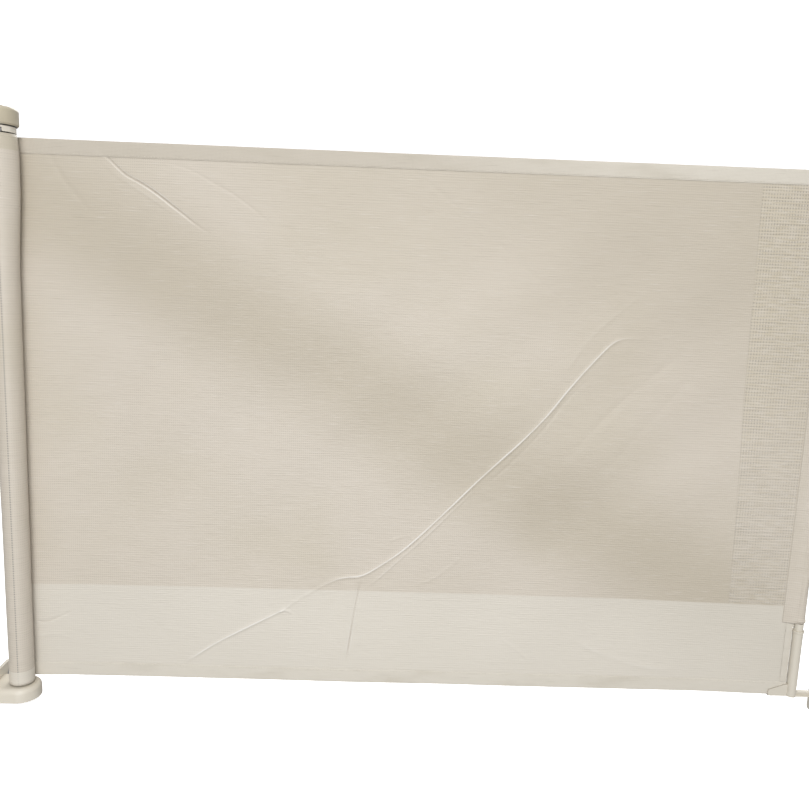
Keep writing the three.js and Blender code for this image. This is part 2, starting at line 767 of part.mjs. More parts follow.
piece(rollerAxis, 'lock_pawl', lockPawl(), 'inner', [pivotX, pivotY, 0]);
piece(rollerAxis, 'pawl_pin',
  rod(pawlPinRadius, collarBottom + gap, collarTop - pinRoof - gap, fine), 'steel', [pivotX, pivotY, 0]);
piece(rollerAxis, 'pawl_spring', pawlSpring(), 'steel');
piece(rollerAxis, 'lock_dial', lockDial(), 'cap');
piece(rollerAxis, 'dial_cam', dialCam(), 'inner');
camScrewAngles.forEach((angle, i) => {
  const [x, y] = polar(camScrewOrbit, angle);
  piece(rollerAxis, `cam_screw_${i + 1}`, camScrew(), 'steel', [x, y, camBottom]);
});
piece(rollerAxis, 'dial_retaining_ring', retainingRing(), 'steel');
piece(rollerAxis, 'release_button', releaseButton(), 'shell');
piece(rollerAxis, 'button_spring', buttonSpring(), 'steel');

// ---- Screen ----

const screenLeft = -span;        // the roller axis, seen from the pull bar
const pocketBottom = sleeveLength + neckLength + gap;
const pocketTop = screenHeight - pocketBottom;
const pocketRadius = sleeveBore + pocketWall;
const neckRadius = sleeveBore + neckWall;
const lipRadius = sleeveRadius + lipDepth;
const spigotRadius = sleeveBore - spigotPlay;

function meshScreen() {
  const edge = hemWall + gap;
  const shape = outline([
    [screenLeft, edge], [-edgeToBar, edge], [-edgeToBar, pocketBottom], [-seamToBar, pocketBottom],
    [-seamToBar, pocketTop], [-edgeToBar, pocketTop], [-edgeToBar, screenHeight - edge],
    [screenLeft, screenHeight - edge],
  ]);
  return alongY(shape, -sheet / 2, sheet / 2);
}

// Binding folded over one edge of the screen; direction 1 has its fold at the bottom.
function hem(fold, direction) {
  const inner = sheet / 2 + gap;
  const outer = hemOuter;
  const shape = outline([
    [-outer, fold], [outer, fold], [outer, fold + direction * hemHeight],
    [inner, fold + direction * hemHeight], [inner, fold + direction * hemWall],
    [-inner, fold + direction * hemWall], [-inner, fold + direction * hemHeight],
    [-outer, fold + direction * hemHeight],
  ]);
  return closed(alongX(shape, screenLeft, -edgeToBar));
}

// Fabric loop round the bar, closed by the seam on its roller side.
function barPocket() {
  const half = sheet / 2 + gap;
  const throat = -pocketRadius * 1.7;
  const wrap = Math.PI * 0.72;
  const shape = new THREE.Shape();
  shape.moveTo(gap - seamToBar, -half);
  shape.lineTo(throat, -half);
  shape.absarc(0, 0, pocketRadius, -wrap, wrap);
  shape.lineTo(throat, half);
  shape.lineTo(gap - seamToBar, half);
  const bore = new THREE.Path();
  bore.absarc(0, 0, sleeveBore, 0, 2 * Math.PI, true);
  shape.holes.push(bore);
  return upright(shape, pocketBottom, pocketTop, 14);
}

piece(barAxis, 'mesh_screen', meshScreen(), 'mesh');
piece(barAxis, 'bottom_hem', hem(0, 1), 'hem');
piece(barAxis, 'top_hem', hem(screenHeight, -1), 'hem');
piece(barAxis, 'bar_pocket', barPocket(), 'mesh');

// ---- Pull bar ----

const sleeveBottom = -sleeveEnd;
const gripEnd = screenHeight + gripTop;
const tubeStart = sleeveLength - sleeveOverlap;
const tubeEnd = screenHeight - tubeStart;
const sleeveScrewLevel = sleeveLength - sleeveOverlap / 2;
const notchTop = armBottom + armHeight + gap;
const hookArmLow = screenHeight + hookArmBottom;
const hookArmTop = hookArmLow + hookArmHeight;

// Forked fin that clasps a corner of the hem; level 0 and direction 1 make the lower one.
function finBody(level, direction) {
  const at = (z) => level + direction * z;
  const inside = sleeveWall - sleeveRadius;
  const shape = outline([
    [inside, at(-sleeveEnd)], [-finReach, at(-sleeveEnd)], [-finReach, at(finTip)],
    [-edgeToBar, at(finRoot)], [inside, at(finRoot)],
  ]);
  return closed(alongY(shape, -finWidth / 2, finWidth / 2));
}

function finSlot(level, direction) {
  const half = hemOuter + gap;
  const ends = [level - direction * gap, level + direction * (finRoot + beyond)].sort((a, b) => a - b);
  return block([-finReach - beyond, -edgeToBar + gap], [-half, half], ends);
}

function sleeveScrewHole(level) {
  const hole = rod(sleeveScrewRadius + gap, 0, sleeveRadius + beyond, fine);
  return hole.rotateX(-Math.PI / 2).translate(0, 0, level);
}

function lowerSleeve() {
  const shell = turned([
    [sleeveBore, sleeveBottom],
    [sleeveRadius, sleeveBottom],
    [sleeveRadius, sleeveLength - lipHeight],
    [lipRadius, sleeveLength - lipHeight],
    [lipRadius, sleeveLength],
    [neckRadius, sleeveLength],
    [neckRadius, sleeveLength + neckLength],
    [sleeveBore, sleeveLength + neckLength],
  ]);
  const half = armWidth / 2 + gap;
  return carve([shell, finBody(0, 1)], [
    finSlot(0, 1),
    block([0, sleeveRadius + beyond], [-half, half], [sleeveBottom - beyond, notchTop]),
    sleeveScrewHole(sleeveScrewLevel),
  ]);
}

function upperSleeve() {
  const lipTop = screenHeight - sleeveLength + lipHeight;
  const shell = turned([
    [sleeveBore, screenHeight - sleeveLength - neckLength],
    [neckRadius, screenHeight - sleeveLength - neckLength],
    [neckRadius, screenHeight - sleeveLength],
    [lipRadius, screenHeight - sleeveLength],
    [lipRadius, lipTop],
    [sleeveRadius, lipTop],
    ...cornerArc(sleeveRadius - gripEdge, gripEnd - gripEdge, gripEdge, 0, 90),
    [0, gripEnd],
    [0, tubeEnd + gap],
    [sleeveBore, tubeEnd + gap],
  ]);
  const tongueTop = hookArmTop + tongueRise + hookNeck;
  const reach = tongueOffset + tongueThickness;
  const inside = sleeveRadius - sleeveWall;
  const chamfer = tongueThickness / 2;
  const half = tongueWidth / 2;
  const hook = alongY(outline([
    [inside, tongueTop - hookNeck], [tongueOffset, tongueTop - hookNeck],
    [tongueOffset, hookArmTop - tongueLength], [reach, hookArmTop - tongueLength],
    [reach, tongueTop - chamfer], [reach - chamfer, tongueTop], [inside, tongueTop],
  ]), -half, half);
  return carve([shell, finBody(screenHeight, -1), hook], [
    finSlot(screenHeight, -1),
    sleeveScrewHole(screenHeight - sleeveScrewLevel),
  ]);
}

function barTube() {
  const wall = sleeveOf(barRadius - barWall, barRadius, tubeStart, tubeEnd);
  return carve([wall], [sleeveScrewHole(sleeveScrewLevel), sleeveScrewHole(screenHeight - sleeveScrewLevel)]);
}

// Pan-head screw from the back of the sleeve into the bar tube.
function sleeveScrew() {
  const head = sleeveRadius + gap;
  const tip = barRadius - 2 * barWall;
  return turned([
    [0, tip], [sleeveScrewRadius, tip], [sleeveScrewRadius, head], [sleeveScrewHead, head],
    [sleeveScrewHead * 0.8, head + sleeveScrewHeight], [0, head + sleeveScrewHeight],
  ], fine).rotateX(-Math.PI / 2);
}

piece(barAxis, 'bar_tube', barTube(), 'tube');
piece(barAxis, 'bar_lower_sleeve', lowerSleeve(), 'shell');
piece(barAxis, 'bar_upper_sleeve', upperSleeve(), 'shell');
piece(barAxis, 'lower_sleeve_screw', sleeveScrew(), 'steel', [0, 0, sleeveScrewLevel]);
piece(barAxis, 'upper_sleeve_screw', sleeveScrew(), 'steel', [0, 0, screenHeight - sleeveScrewLevel]);

// ---- Catches ----

const catchPlateFace = barToWall - wallPlate;
const lowerCatchMiddle = armBottom + armHeight / 2;
const upperCatchMiddle = (hookArmLow + hookArmTop) / 2;
const catchScrewOffset = catchPlateHeight / 2 - wallScrewInset;

function catchPlate(middle) {
  const across = catchPlateWidth / 2;
  const up = catchPlateHeight / 2;
  const shape = roundedPlate(-across, across, middle - up, middle + up, plateCorner);
  return alongX(shape, catchPlateFace, barToWall);
}

function catchScrewHoles(middle) {
  return [-catchScrewOffset, catchScrewOffset].map((z) =>
    lieAlongX(screwHole(), -1).translate(barToWall, 0, middle + z));
}

// I-section arm with an upright spigot that stands inside the bar's lower sleeve.
function lowerCatch() {
  const half = armWidth / 2;
  const groove = [lowerCatchMiddle - armGrooveHeight / 2, lowerCatchMiddle + armGrooveHeight / 2];
  const grooveX = [sleeveRadius, catchPlateFace - gap];
  return carve([
    catchPlate(lowerCatchMiddle),
    block([0, catchPlateFace + beyond], [-half, half], [armBottom, armBottom + armHeight]),
    rod(spigotRadius, armBottom, sleeveBottom + barLift - gap, fine),
  ], [
    block(grooveX, [-half - beyond, armGrooveDepth - half], groove),
    block(grooveX, [half - armGrooveDepth, half + beyond], groove),
    ...catchScrewHoles(lowerCatchMiddle),
  ]);
}

// Flat arm with a slot that takes the tongue of the bar's upper sleeve.
function upperCatch() {
  const half = hookArmWidth / 2;
  const tip = tongueOffset - gap - hookBarThickness;
  const slot = tongueWidth / 2 + gap;
  return carve([
    catchPlate(upperCatchMiddle),
    block([tip, catchPlateFace + beyond], [-half, half], [hookArmLow, hookArmTop]),
  ], [
    block([tongueOffset - gap, tongueOffset + tongueThickness + hookGap], [-slot, slot],
      [hookArmLow - beyond, hookArmTop + beyond]),
    ...catchScrewHoles(upperCatchMiddle),
  ]);
}

piece(barAxis, 'lower_catch', lowerCatch(), 'shell');
piece(barAxis, 'upper_catch', upperCatch(), 'shell');
for (const [level, middle] of [['lower', lowerCatchMiddle], ['upper', upperCatchMiddle]]) {
  for (const [side, z] of [['low', -catchScrewOffset], ['high', catchScrewOffset]]) {
    const name = `${level}_catch_screw_${side}`;
    piece(barAxis, name, lieAlongX(wallScrew(), -1), 'steel', [barToWall, 0, middle + z]);
  }
}

export default gate;
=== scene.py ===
import math

import bmesh
import bpy
import numpy as np
from mathutils import Matrix, Vector


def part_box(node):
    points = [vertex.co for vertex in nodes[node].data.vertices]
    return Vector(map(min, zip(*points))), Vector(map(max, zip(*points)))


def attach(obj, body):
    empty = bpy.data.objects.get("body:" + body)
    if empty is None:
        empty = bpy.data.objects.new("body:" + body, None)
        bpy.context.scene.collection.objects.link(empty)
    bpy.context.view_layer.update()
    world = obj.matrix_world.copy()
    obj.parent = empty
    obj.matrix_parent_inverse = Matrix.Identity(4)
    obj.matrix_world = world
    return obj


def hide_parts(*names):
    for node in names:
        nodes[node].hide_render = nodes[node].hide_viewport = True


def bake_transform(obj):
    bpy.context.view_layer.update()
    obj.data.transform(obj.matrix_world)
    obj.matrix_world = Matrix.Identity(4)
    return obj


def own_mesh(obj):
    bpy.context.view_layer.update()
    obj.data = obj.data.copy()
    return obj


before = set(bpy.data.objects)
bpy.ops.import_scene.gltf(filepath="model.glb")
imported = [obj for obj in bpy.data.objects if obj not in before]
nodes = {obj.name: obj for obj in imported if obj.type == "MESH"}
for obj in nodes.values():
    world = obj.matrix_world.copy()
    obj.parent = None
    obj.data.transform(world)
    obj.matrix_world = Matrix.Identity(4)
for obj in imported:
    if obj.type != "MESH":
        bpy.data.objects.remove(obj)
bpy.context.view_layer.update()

# Retractable safety gate: a mesh screen drawn from a spring roller to a pull bar.
# Metres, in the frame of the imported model: X along the wall opening, -Y towards the user, Z up.
mm = 0.001
screenLow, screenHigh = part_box("mesh_screen")
rollLow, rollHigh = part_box("mesh_roll")
tubeLow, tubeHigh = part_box("roller_tube")
hemLow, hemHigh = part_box("bottom_hem")
pocketLow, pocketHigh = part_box("bar_pocket")
barLow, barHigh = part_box("bar_tube")
sleeveLow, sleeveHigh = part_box("bar_lower_sleeve")

rollerX = (rollLow.x + rollHigh.x) / 2
tubeRadius = (tubeHigh.y - tubeLow.y) / 2
sheetY = (screenLow.y + screenHigh.y) / 2
barX = (barLow.x + barHigh.x) / 2
bottomZ, topZ = hemLow.z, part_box("top_hem")[1].z
hemTall = hemHigh.z - hemLow.z


def newPiece(name, points, faces, finish, uvs=None, foldWhiteningAndShading=None):
    mesh = bpy.data.meshes.new(name)
    mesh.from_pydata([tuple(p) for p in points], [], [tuple(f) for f in faces])
    if uvs is not None:
        layer = mesh.uv_layers.new(name="cloth")
        corners = np.zeros(len(mesh.loops), np.int32)
        mesh.loops.foreach_get("vertex_index", corners)
        layer.data.foreach_set("uv", np.asarray(uvs, np.float32)[corners].ravel())
    # per point: painted highlight and shade along the creases, partly the coating's whitening
    if foldWhiteningAndShading is not None:
        mesh.attributes.new("foldWhiteningAndShading", "FLOAT", "POINT").data.foreach_set("value", foldWhiteningAndShading.astype(np.float32))
    mesh.polygons.foreach_set("use_smooth", [True] * len(mesh.polygons))
    mesh.materials.append(finish)
    mesh.update()
    piece = bpy.data.objects.new(name, mesh)
    bpy.context.scene.collection.objects.link(piece)
    return piece


def gridFaces(across, along):
    # quads of a grid whose points run along first
    i, j = np.meshgrid(np.arange(across - 1), np.arange(along - 1), indexing="ij")
    a = (i * along + j).ravel()
    return np.stack([a, a + along, a + along + 1, a + 1], 1)


def ringFaces(first, rings, sides):
    # a closed tube through rings of points
    faces = []
    for i in range(rings - 1):
        for k in range(sides):
            a, b = first + i * sides + k, first + i * sides + (k + 1) % sides
            faces.append((a, b, b + sides, a + sides))
    faces.append(tuple(first + k for k in reversed(range(sides))))
    faces.append(tuple(first + (rings - 1) * sides + k for k in range(sides)))
    return faces


def girthAlong(section):
    # length along a section's line up to each of its points
    return np.concatenate([[0], np.cumsum(np.linalg.norm(np.diff(section, axis=0), axis=1))])


def frontAndBack(count):
    # outward directions of two rows, one on each side of the screen
    return [np.array((0, -1.0, 0))] * count + [np.array((0, 1.0, 0))] * count


def smoothPath(points, rounds=3):
    # a path's corners cut again and again, with its ends kept
    p = np.array(points, float)
    for _ in range(rounds):
        cut = np.empty((2 * len(p) - 2, p.shape[1]))
        cut[0::2] = p[:-1] * 0.75 + p[1:] * 0.25
        cut[1::2] = p[:-1] * 0.25 + p[1:] * 0.75
        p = np.vstack([p[:1], cut, p[-1:]])
    return p


def ease(t):
    t = np.clip(t, 0, 1)
    return t * t * (3 - 2 * t)


def thicken(piece, thickness):
    solid = piece.modifiers.new("thickness", "SOLIDIFY")
    solid.thickness = thickness
    solid.offset = 0.0
    solid.use_even_offset = False


def newMaterial(name):
    material = bpy.data.materials.new(name)
    material.use_nodes = True
    return material, material.node_tree, material.node_tree.nodes["Principled BSDF"]


def plug(tree, value, socket):
    if isinstance(value, bpy.types.NodeSocket):
        tree.links.new(value, socket)
    else:
        socket.default_value = value


def setInputs(node, values):
    for name, value in values.items():
        node.inputs[name].default_value = value


def calc(tree, operation, a, b=0.0, c=0.0, clamp=False):
    node = tree.nodes.new("ShaderNodeMath")
    node.operation = operation
    node.use_clamp = clamp
    for value, socket in zip((a, b, c), node.inputs):
        plug(tree, value, socket)
    return node.outputs[0]


def times(tree, a, b):
    return calc(tree, "MULTIPLY", a, b)


def remap(tree, value, low, high, toLow=0.0, toHigh=1.0):
    node = tree.nodes.new("ShaderNodeMapRange")
    node.interpolation_type = "SMOOTHSTEP"
    for v, socket in zip((value, low, high, toLow, toHigh), node.inputs):
        plug(tree, v, socket)
    return node.outputs[0]


def noise(tree, where, scale, detail=3.0, roughness=0.55):
    node = tree.nodes.new("ShaderNodeTexNoise")
    plug(tree, where, node.inputs["Vector"])
    setInputs(node, {"Scale": scale, "Detail": detail, "Roughness": roughness})
    return node.outputs[0]


def stretched(tree, where, scale):
    node = tree.nodes.new("ShaderNodeMapping")
    plug(tree, where, node.inputs["Vector"])
    node.inputs["Scale"].default_value = scale
    return node.outputs[0]


def blendColour(tree, share, first, second):
    node = tree.nodes.new("ShaderNodeMix")
    node.data_type = "RGBA"
    plug(tree, share, node.inputs[0])
    plug(tree, first, node.inputs[6])
    plug(tree, second, node.inputs[7])
    return node.outputs[2]


def bump(tree, height, distance, strength):
    node = tree.nodes.new("ShaderNodeBump")
    setInputs(node, {"Distance": distance, "Strength": strength})
    plug(tree, height, node.inputs["Height"])
    return node.outputs[0]


def coordinates(tree, kind="Object"):
    return tree.nodes.new("ShaderNodeTexCoord").outputs[kind]


def clothMap(tree):
    # lengths along the cloth and across it, in metres
    node = tree.nodes.new("ShaderNodeUVMap")
    node.uv_map = "cloth"
    parts = tree.nodes.new("ShaderNodeSeparateXYZ")
    tree.links.new(node.outputs[0], parts.inputs[0])
    return node.outputs[0], parts.outputs[0], parts.outputs[1]


# the screen's cloth, also used for the pocket and the roll
meshLook = {
    "colour": (0.605, 0.548, 0.468, 1),
    "shadeColour": (0.535, 0.482, 0.380, 1),
    # painted shade colour for the broad fold, the upper bar end and the band under the top hem
    "paintedShadeColour": (0.500, 0.445, 0.352, 1),
    "paleColour": (0.690, 0.645, 0.585, 1),
    "stripColour": (0.545, 0.485, 0.372, 1),
    "lowerColour": (0.665, 0.628, 0.555, 1),
    # painted shade in the mesh's see-through holes and between its threads; also used for the darker
    # streaks and the strip's edge line
    "holeShadeColour": (0.270, 0.232, 0.180, 1),
    # paler fold colour: painted highlight, partly the coating's real whitening
    "whiteningAndHighlightColour": (0.820, 0.795, 0.750, 1),
    # painted shade in the creases' grooves
    "grooveShadeColour": (0.360, 0.300, 0.250, 1),
    "seamColour": (0.20, 0.19, 0.18, 1),
    "ribPitch": 3.7 * mm,
    "yarnPitch": 3.1 * mm,
    "stripPitch": (4.2 * mm, 4.8 * mm),
    "ribHeight": 0.45 * mm,
    "roughness": 0.46,
    "lowerBand": 151 * mm,       # the denser, paler band along the bottom
    "stripStart": 1112 * mm,     # the open strip by the pull bar
    "stripLean": 0.026,
    "openness": 0.12,
    "wander": 90 * mm,           # how far the tones' edges stray
    "foldShade": (710 * mm, 150 * mm, 0.80),     # painted shade along the diagonal fold: place up the slope, reach, share
    "cornerShade": (820 * mm, 1120 * mm, 0.58),  # painted shade towards the upper bar end: from, to, share
    "cornerRise": (350 * mm, 700 * mm),
    "underHemShade": (560 * mm, 790 * mm, 0.42),      # painted shade under the top hem
    "underHemShadeStart": (200 * mm, 480 * mm),
    "stripTone": (200 * mm, 650 * mm, 0.10, 0.75),
    "lowerShare": 0.76,
    "ribShadeDepth": (0.09, 0.19, -0.05),           # painted shade between ribs, then more in the strip and lower band
}


def weave(tree, u, v, yarn, rib, wobble):
    # crosswise ribs and fine lengthwise yarns, each 1 on the thread and 0 between threads
    turn = 2 * math.pi
    shifted = calc(tree, "MULTIPLY_ADD", wobble, rib * 0.5, v)
    sideways = calc(tree, "MULTIPLY_ADD", wobble, yarn * 0.4, u)
    ribs = calc(tree, "COSINE", times(tree, shifted, turn / rib))
    yarns = calc(tree, "COSINE", times(tree, sideways, turn / yarn))
    return calc(tree, "MULTIPLY_ADD", ribs, 0.5, 0.5), calc(tree, "MULTIPLY_ADD", yarns, 0.5, 0.5)


def meshHoles(tree, ribs, yarns):
    # open where neither a rib nor a yarn passes
    return times(tree, remap(tree, ribs, 0.62, 0.25), remap(tree, yarns, 0.52, 0.20))


def clothMaterial(name, zones=True, seam=None, hemBands=False, closed=0.20):
    look = meshLook
    material, tree, shader = newMaterial(name)
    where, u, v = clothMap(tree)
    wobble = noise(tree, stretched(tree, where, (18, 130, 1)), 1.0, 3.0)
    ribs, yarns = weave(tree, u, v, look["yarnPitch"], look["ribPitch"], wobble)
    gapHere = meshHoles(tree, ribs, yarns)
    # the ribs stand out in some places and lie flat in others
    uneven = remap(tree, noise(tree, stretched(tree, where, (22, 160, 1)), 1.0, 3.0), 0.35, 0.68)
    # painted shade between the ribs
    ribShadeHere = times(tree, remap(tree, ribs, 0.55, 0.05), uneven)
    broad = noise(tree, stretched(tree, where, (2.6, 3.4, 1)), 1.0, 3.0)
    fine = noise(tree, stretched(tree, where, (70, 420, 1)), 1.0, 4.0, 0.7)
    streak = noise(tree, stretched(tree, where, (26, 640, 1)), 1.0, 2.0, 0.6)
    colour = blendColour(tree, remap(tree, broad, 0.40, 0.72, 0.0, 0.55), look["colour"],
                         look["shadeColour"])
    if zones:
        # painted shade: darker along the soft diagonal fold, towards the upper bar end and under the top
        # hem
        lean = screenShape["lean"]
        up = calc(tree, "MULTIPLY_ADD", u, lean[0], times(tree, v, lean[1]))
        up = calc(tree, "MULTIPLY_ADD", broad, look["wander"], up)
        place, reach, share = look["foldShade"]
        off = calc(tree, "ABSOLUTE", calc(tree, "SUBTRACT", up, place))
        fold = remap(tree, off, reach, 10 * mm, 0.0, share)
        first, last, share = look["cornerShade"]
        cornerShadeShare = times(tree, remap(tree, up, first, last, 0.0, share),
                       remap(tree, v, *look["cornerRise"], 0.3, 1.0))
        first, last, share = look["underHemShade"]
        underHemShadeShare = times(tree, remap(tree, v, first, last, 0.0, share),
                         remap(tree, u, *look["underHemShadeStart"]))
        shadeShare = calc(tree, "MAXIMUM", calc(tree, "MAXIMUM", fold, cornerShadeShare), underHemShadeShare)
        colour = blendColour(tree, shadeShare, colour, look["paintedShadeColour"])
    colour = blendColour(tree, remap(tree, streak, 0.40, 0.22, 0.0, 0.20), colour, look["holeShadeColour"])
    colour = blendColour(tree, remap(tree, streak, 0.58, 0.78, 0.0, 0.55), colour, look["paleColour"])
    openHere = closed
    ribShadeDepth, inStrip, inLower = look["ribShadeDepth"]
    if zones:
        lower = remap(tree, v, look["lowerBand"] + 1.0 * mm, look["lowerBand"] - 1.0 * mm)
        colour = blendColour(tree, times(tree, lower, look["lowerShare"]), colour,
                             look["lowerColour"])
        edge = calc(tree, "MULTIPLY_ADD", v, look["stripLean"], u)
        upper = calc(tree, "SUBTRACT", 1.0, lower)
        inside = calc(tree, "SUBTRACT", edge, look["stripStart"])
        strip = times(tree, upper, remap(tree, inside, -1 * mm, 1 * mm))
        border = remap(tree, calc(tree, "ABSOLUTE", inside), 1.6 * mm, 0.4 * mm)
        colour = blendColour(tree, times(tree, times(tree, border, upper), 0.18), colour,
                             look["holeShadeColour"])
        # the open strip has yellowed most near its top
        aged = remap(tree, v, *look["stripTone"])
        colour = blendColour(tree, times(tree, strip, aged), colour, look["stripColour"])
        stripRibs, stripYarns = weave(tree, u, v, *look["stripPitch"], wobble)
        gapHere = times(tree, gapHere, calc(tree, "MULTIPLY_ADD", lower, -0.6 * closed, closed))
        threadTone = remap(tree, noise(tree, stretched(tree, where, (60, 330, 1)), 1.0, 2.0), 0.36, 0.64)
        colour = blendColour(tree, times(tree, times(tree, threadTone, strip), 0.33), colour,
                             look["paleColour"])
        wide = times(tree, meshHoles(tree, stripRibs, stripYarns), strip)
        gapHere = calc(tree, "ADD", times(tree, gapHere, calc(tree, "SUBTRACT", 1.0, strip)),
                       times(tree, wide, remap(tree, uneven, 0.0, 1.0, 0.50, 0.88)))
        # painted shade between the strip's ribs
        shadeBetweenThreads = times(tree, remap(tree, stripRibs, 0.5, 0.1), times(tree, strip, 0.2))
        ribShadeHere = calc(tree, "ADD", ribShadeHere, shadeBetweenThreads, clamp=True)
        ribShadeDepth = calc(tree, "MULTIPLY_ADD", strip, inStrip, ribShadeDepth)
        ribShadeDepth = calc(tree, "MULTIPLY_ADD", lower, inLower, ribShadeDepth)
        openHere = 1.0
    gapShare = calc(tree, "MULTIPLY", gapHere, openHere, clamp=True)
    # painted shade between the ribs and in the open holes
    colour = blendColour(tree, times(tree, ribShadeHere, ribShadeDepth), colour, look["holeShadeColour"])
    colour = blendColour(tree, gapShare, colour, look["holeShadeColour"])
    if zones:
        # painted highlight along the folds' ridges and shoulders, partly the coating's real whitening, and
        # painted shade in the grooves
        worn = tree.nodes.new("ShaderNodeAttribute")
        worn.attribute_name = "foldWhiteningAndShading"
        colour = blendColour(tree, remap(tree, worn.outputs["Fac"], 0.15, 1.5, 0.0, 0.75), colour,
                             look["whiteningAndHighlightColour"])
        colour = blendColour(tree, remap(tree, worn.outputs["Fac"], -0.15, -1.6, 0.0, 0.75), colour,
                             look["grooveShadeColour"])
    if seam is not None:
        off = calc(tree, "ABSOLUTE", calc(tree, "SUBTRACT", u, seam))
        dashes = times(tree, remap(tree, off, 1.3 * mm, 0.6 * mm),
                       remap(tree, ribs, 0.80, 0.30, 0.25, 1.0))
        colour = blendColour(tree, times(tree, dashes, 0.62), colour, look["seamColour"])
    if hemBands:
        top = topZ - bottomZ - hemTall
        low = remap(tree, v, hemTall + 0.5 * mm, hemTall - 0.5 * mm)
        high = remap(tree, v, top - 0.5 * mm, top + 0.5 * mm)
        colour = blendColour(tree, times(tree, low, 0.75), colour, hemLook["pale"])
        colour = blendColour(tree, times(tree, high, 0.85), colour, look["shadeColour"])
    plug(tree, colour, shader.inputs["Base Color"])
    alpha = calc(tree, "MULTIPLY_ADD", gapShare, -look["openness"], 1.0)
    plug(tree, alpha, shader.inputs["Alpha"])
    plug(tree, remap(tree, fine, 0.3, 0.7, look["roughness"] - 0.08, look["roughness"] + 0.12),
         shader.inputs["Roughness"])
    height = calc(tree, "ADD", times(tree, times(tree, ribs, uneven), 0.5), times(tree, yarns, 0.12))
    height = calc(tree, "MULTIPLY_ADD", fine, 0.9, height)
    height = calc(tree, "MULTIPLY_ADD", streak, 1.3, height)
    plug(tree, bump(tree, height, look["ribHeight"], 0.55), shader.inputs["Normal"])
    setInputs(shader, {"Specular IOR Level": 0.5, "Sheen Weight": 0.12, "Sheen Roughness": 0.45,
                       "Sheen Tint": (0.95, 0.93, 0.92, 1)})
    return material


hemLook = {
    "colour": (0.535, 0.485, 0.408, 1),
    "pale": (0.680, 0.640, 0.560, 1),
    "worn": (0.490, 0.445, 0.360, 1),
    "thread": (0.690, 0.650, 0.565, 1),
    "weavePitch": 1.9 * mm,
    "roughness": 0.55,
}


def hemMaterial(name, paleFrom, paleTo):
    # the tape grows paler from one place along it to another
    look = hemLook
    material, tree, shader = newMaterial(name)
    where, u, v = clothMap(tree)
    wobble = noise(tree, stretched(tree, where, (30, 160, 1)), 1.0, 2.0)
    ribs, yarns = weave(tree, u, v, look["weavePitch"], look["weavePitch"], wobble)
    broad = noise(tree, stretched(tree, where, (9, 30, 1)), 1.0, 3.0)
    streak = noise(tree, stretched(tree, where, (22, 640, 1)), 1.0, 2.0, 0.6)
    colour = blendColour(tree, remap(tree, u, paleFrom, paleTo, 0.05, 0.85), look["colour"], look["pale"])
    colour = blendColour(tree, remap(tree, broad, 0.45, 0.75, 0.0, 0.45), colour, look["worn"])
    colour = blendColour(tree, remap(tree, streak, 0.42, 0.25, 0.0, 0.22), colour,
                         meshLook["holeShadeColour"])
    # painted shade between the tape's threads
    shadeBetweenThreads = times(tree, calc(tree, "SUBTRACT", 1.0, ribs), 0.10)
    colour = blendColour(tree, shadeBetweenThreads, colour, meshLook["holeShadeColour"])
    plug(tree, colour, shader.inputs["Base Color"])
    plug(tree, remap(tree, broad, 0.3, 0.7, look["roughness"] - 0.06, look["roughness"] + 0.06),
         shader.inputs["Roughness"])
    height = calc(tree, "ADD", times(tree, ribs, 0.5), times(tree, yarns, 0.5))
    height = calc(tree, "MULTIPLY_ADD", streak, 0.8, height)
    plug(tree, bump(tree, height, 0.25 * mm, 0.5), shader.inputs["Normal"])
    shader.inputs["Sheen Weight"].default_value = 0.12
    return material


def threadMaterial():
    material, tree, shader = newMaterial("stitchThread")
    where = coordinates(tree)
    grain = noise(tree, where, 900, 2.0)
    colour = blendColour(tree, remap(tree, grain, 0.35, 0.7), hemLook["thread"], hemLook["worn"])
    plug(tree, colour, shader.inputs["Base Color"])
    plug(tree, bump(tree, grain, 0.1 * mm, 0.4), shader.inputs["Normal"])
    shader.inputs["Roughness"].default_value = 0.55
    return material


# finish of the moulded and metal parts
hardLook = {
    "shell": {"colour": (0.690, 0.640, 0.545, 1), "worn": (0.800, 0.765, 0.690, 1),
              "dirtAndShade": (0.50, 0.45, 0.36, 1), "roughness": 0.36, "metal": 0.0, "rounding": 0.6 * mm},
    "sleeve": {"colour": (0.535, 0.485, 0.392, 1), "worn": (0.74, 0.70, 0.62, 1),
               "dirtAndShade": (0.42, 0.365, 0.275, 1), "roughness": 0.38, "metal": 0.0, "rounding": 0.4 * mm},
    "cap": {"colour": (0.520, 0.465, 0.345, 1), "worn": (0.66, 0.61, 0.50, 1),
            "dirtAndShade": (0.40, 0.35, 0.26, 1), "roughness": 0.34, "metal": 0.0, "rounding": 0.7 * mm},
    "inner": {"colour": (0.300, 0.295, 0.280, 1), "worn": (0.42, 0.41, 0.39, 1),
              "dirtAndShade": (0.18, 0.175, 0.165, 1), "roughness": 0.48, "metal": 0.0, "rounding": 0.25 * mm},
    "steel": {"colour": (0.620, 0.615, 0.600, 1), "worn": (0.78, 0.78, 0.77, 1),
              "dirtAndShade": (0.38, 0.36, 0.33, 1), "roughness": 0.30, "metal": 1.0, "rounding": 0.15 * mm},
    "tube": {"colour": (0.720, 0.710, 0.690, 1), "worn": (0.84, 0.835, 0.82, 1),
             "dirtAndShade": (0.52, 0.51, 0.49, 1), "roughness": 0.34, "metal": 1.0, "rounding": 0.15 * mm},
}


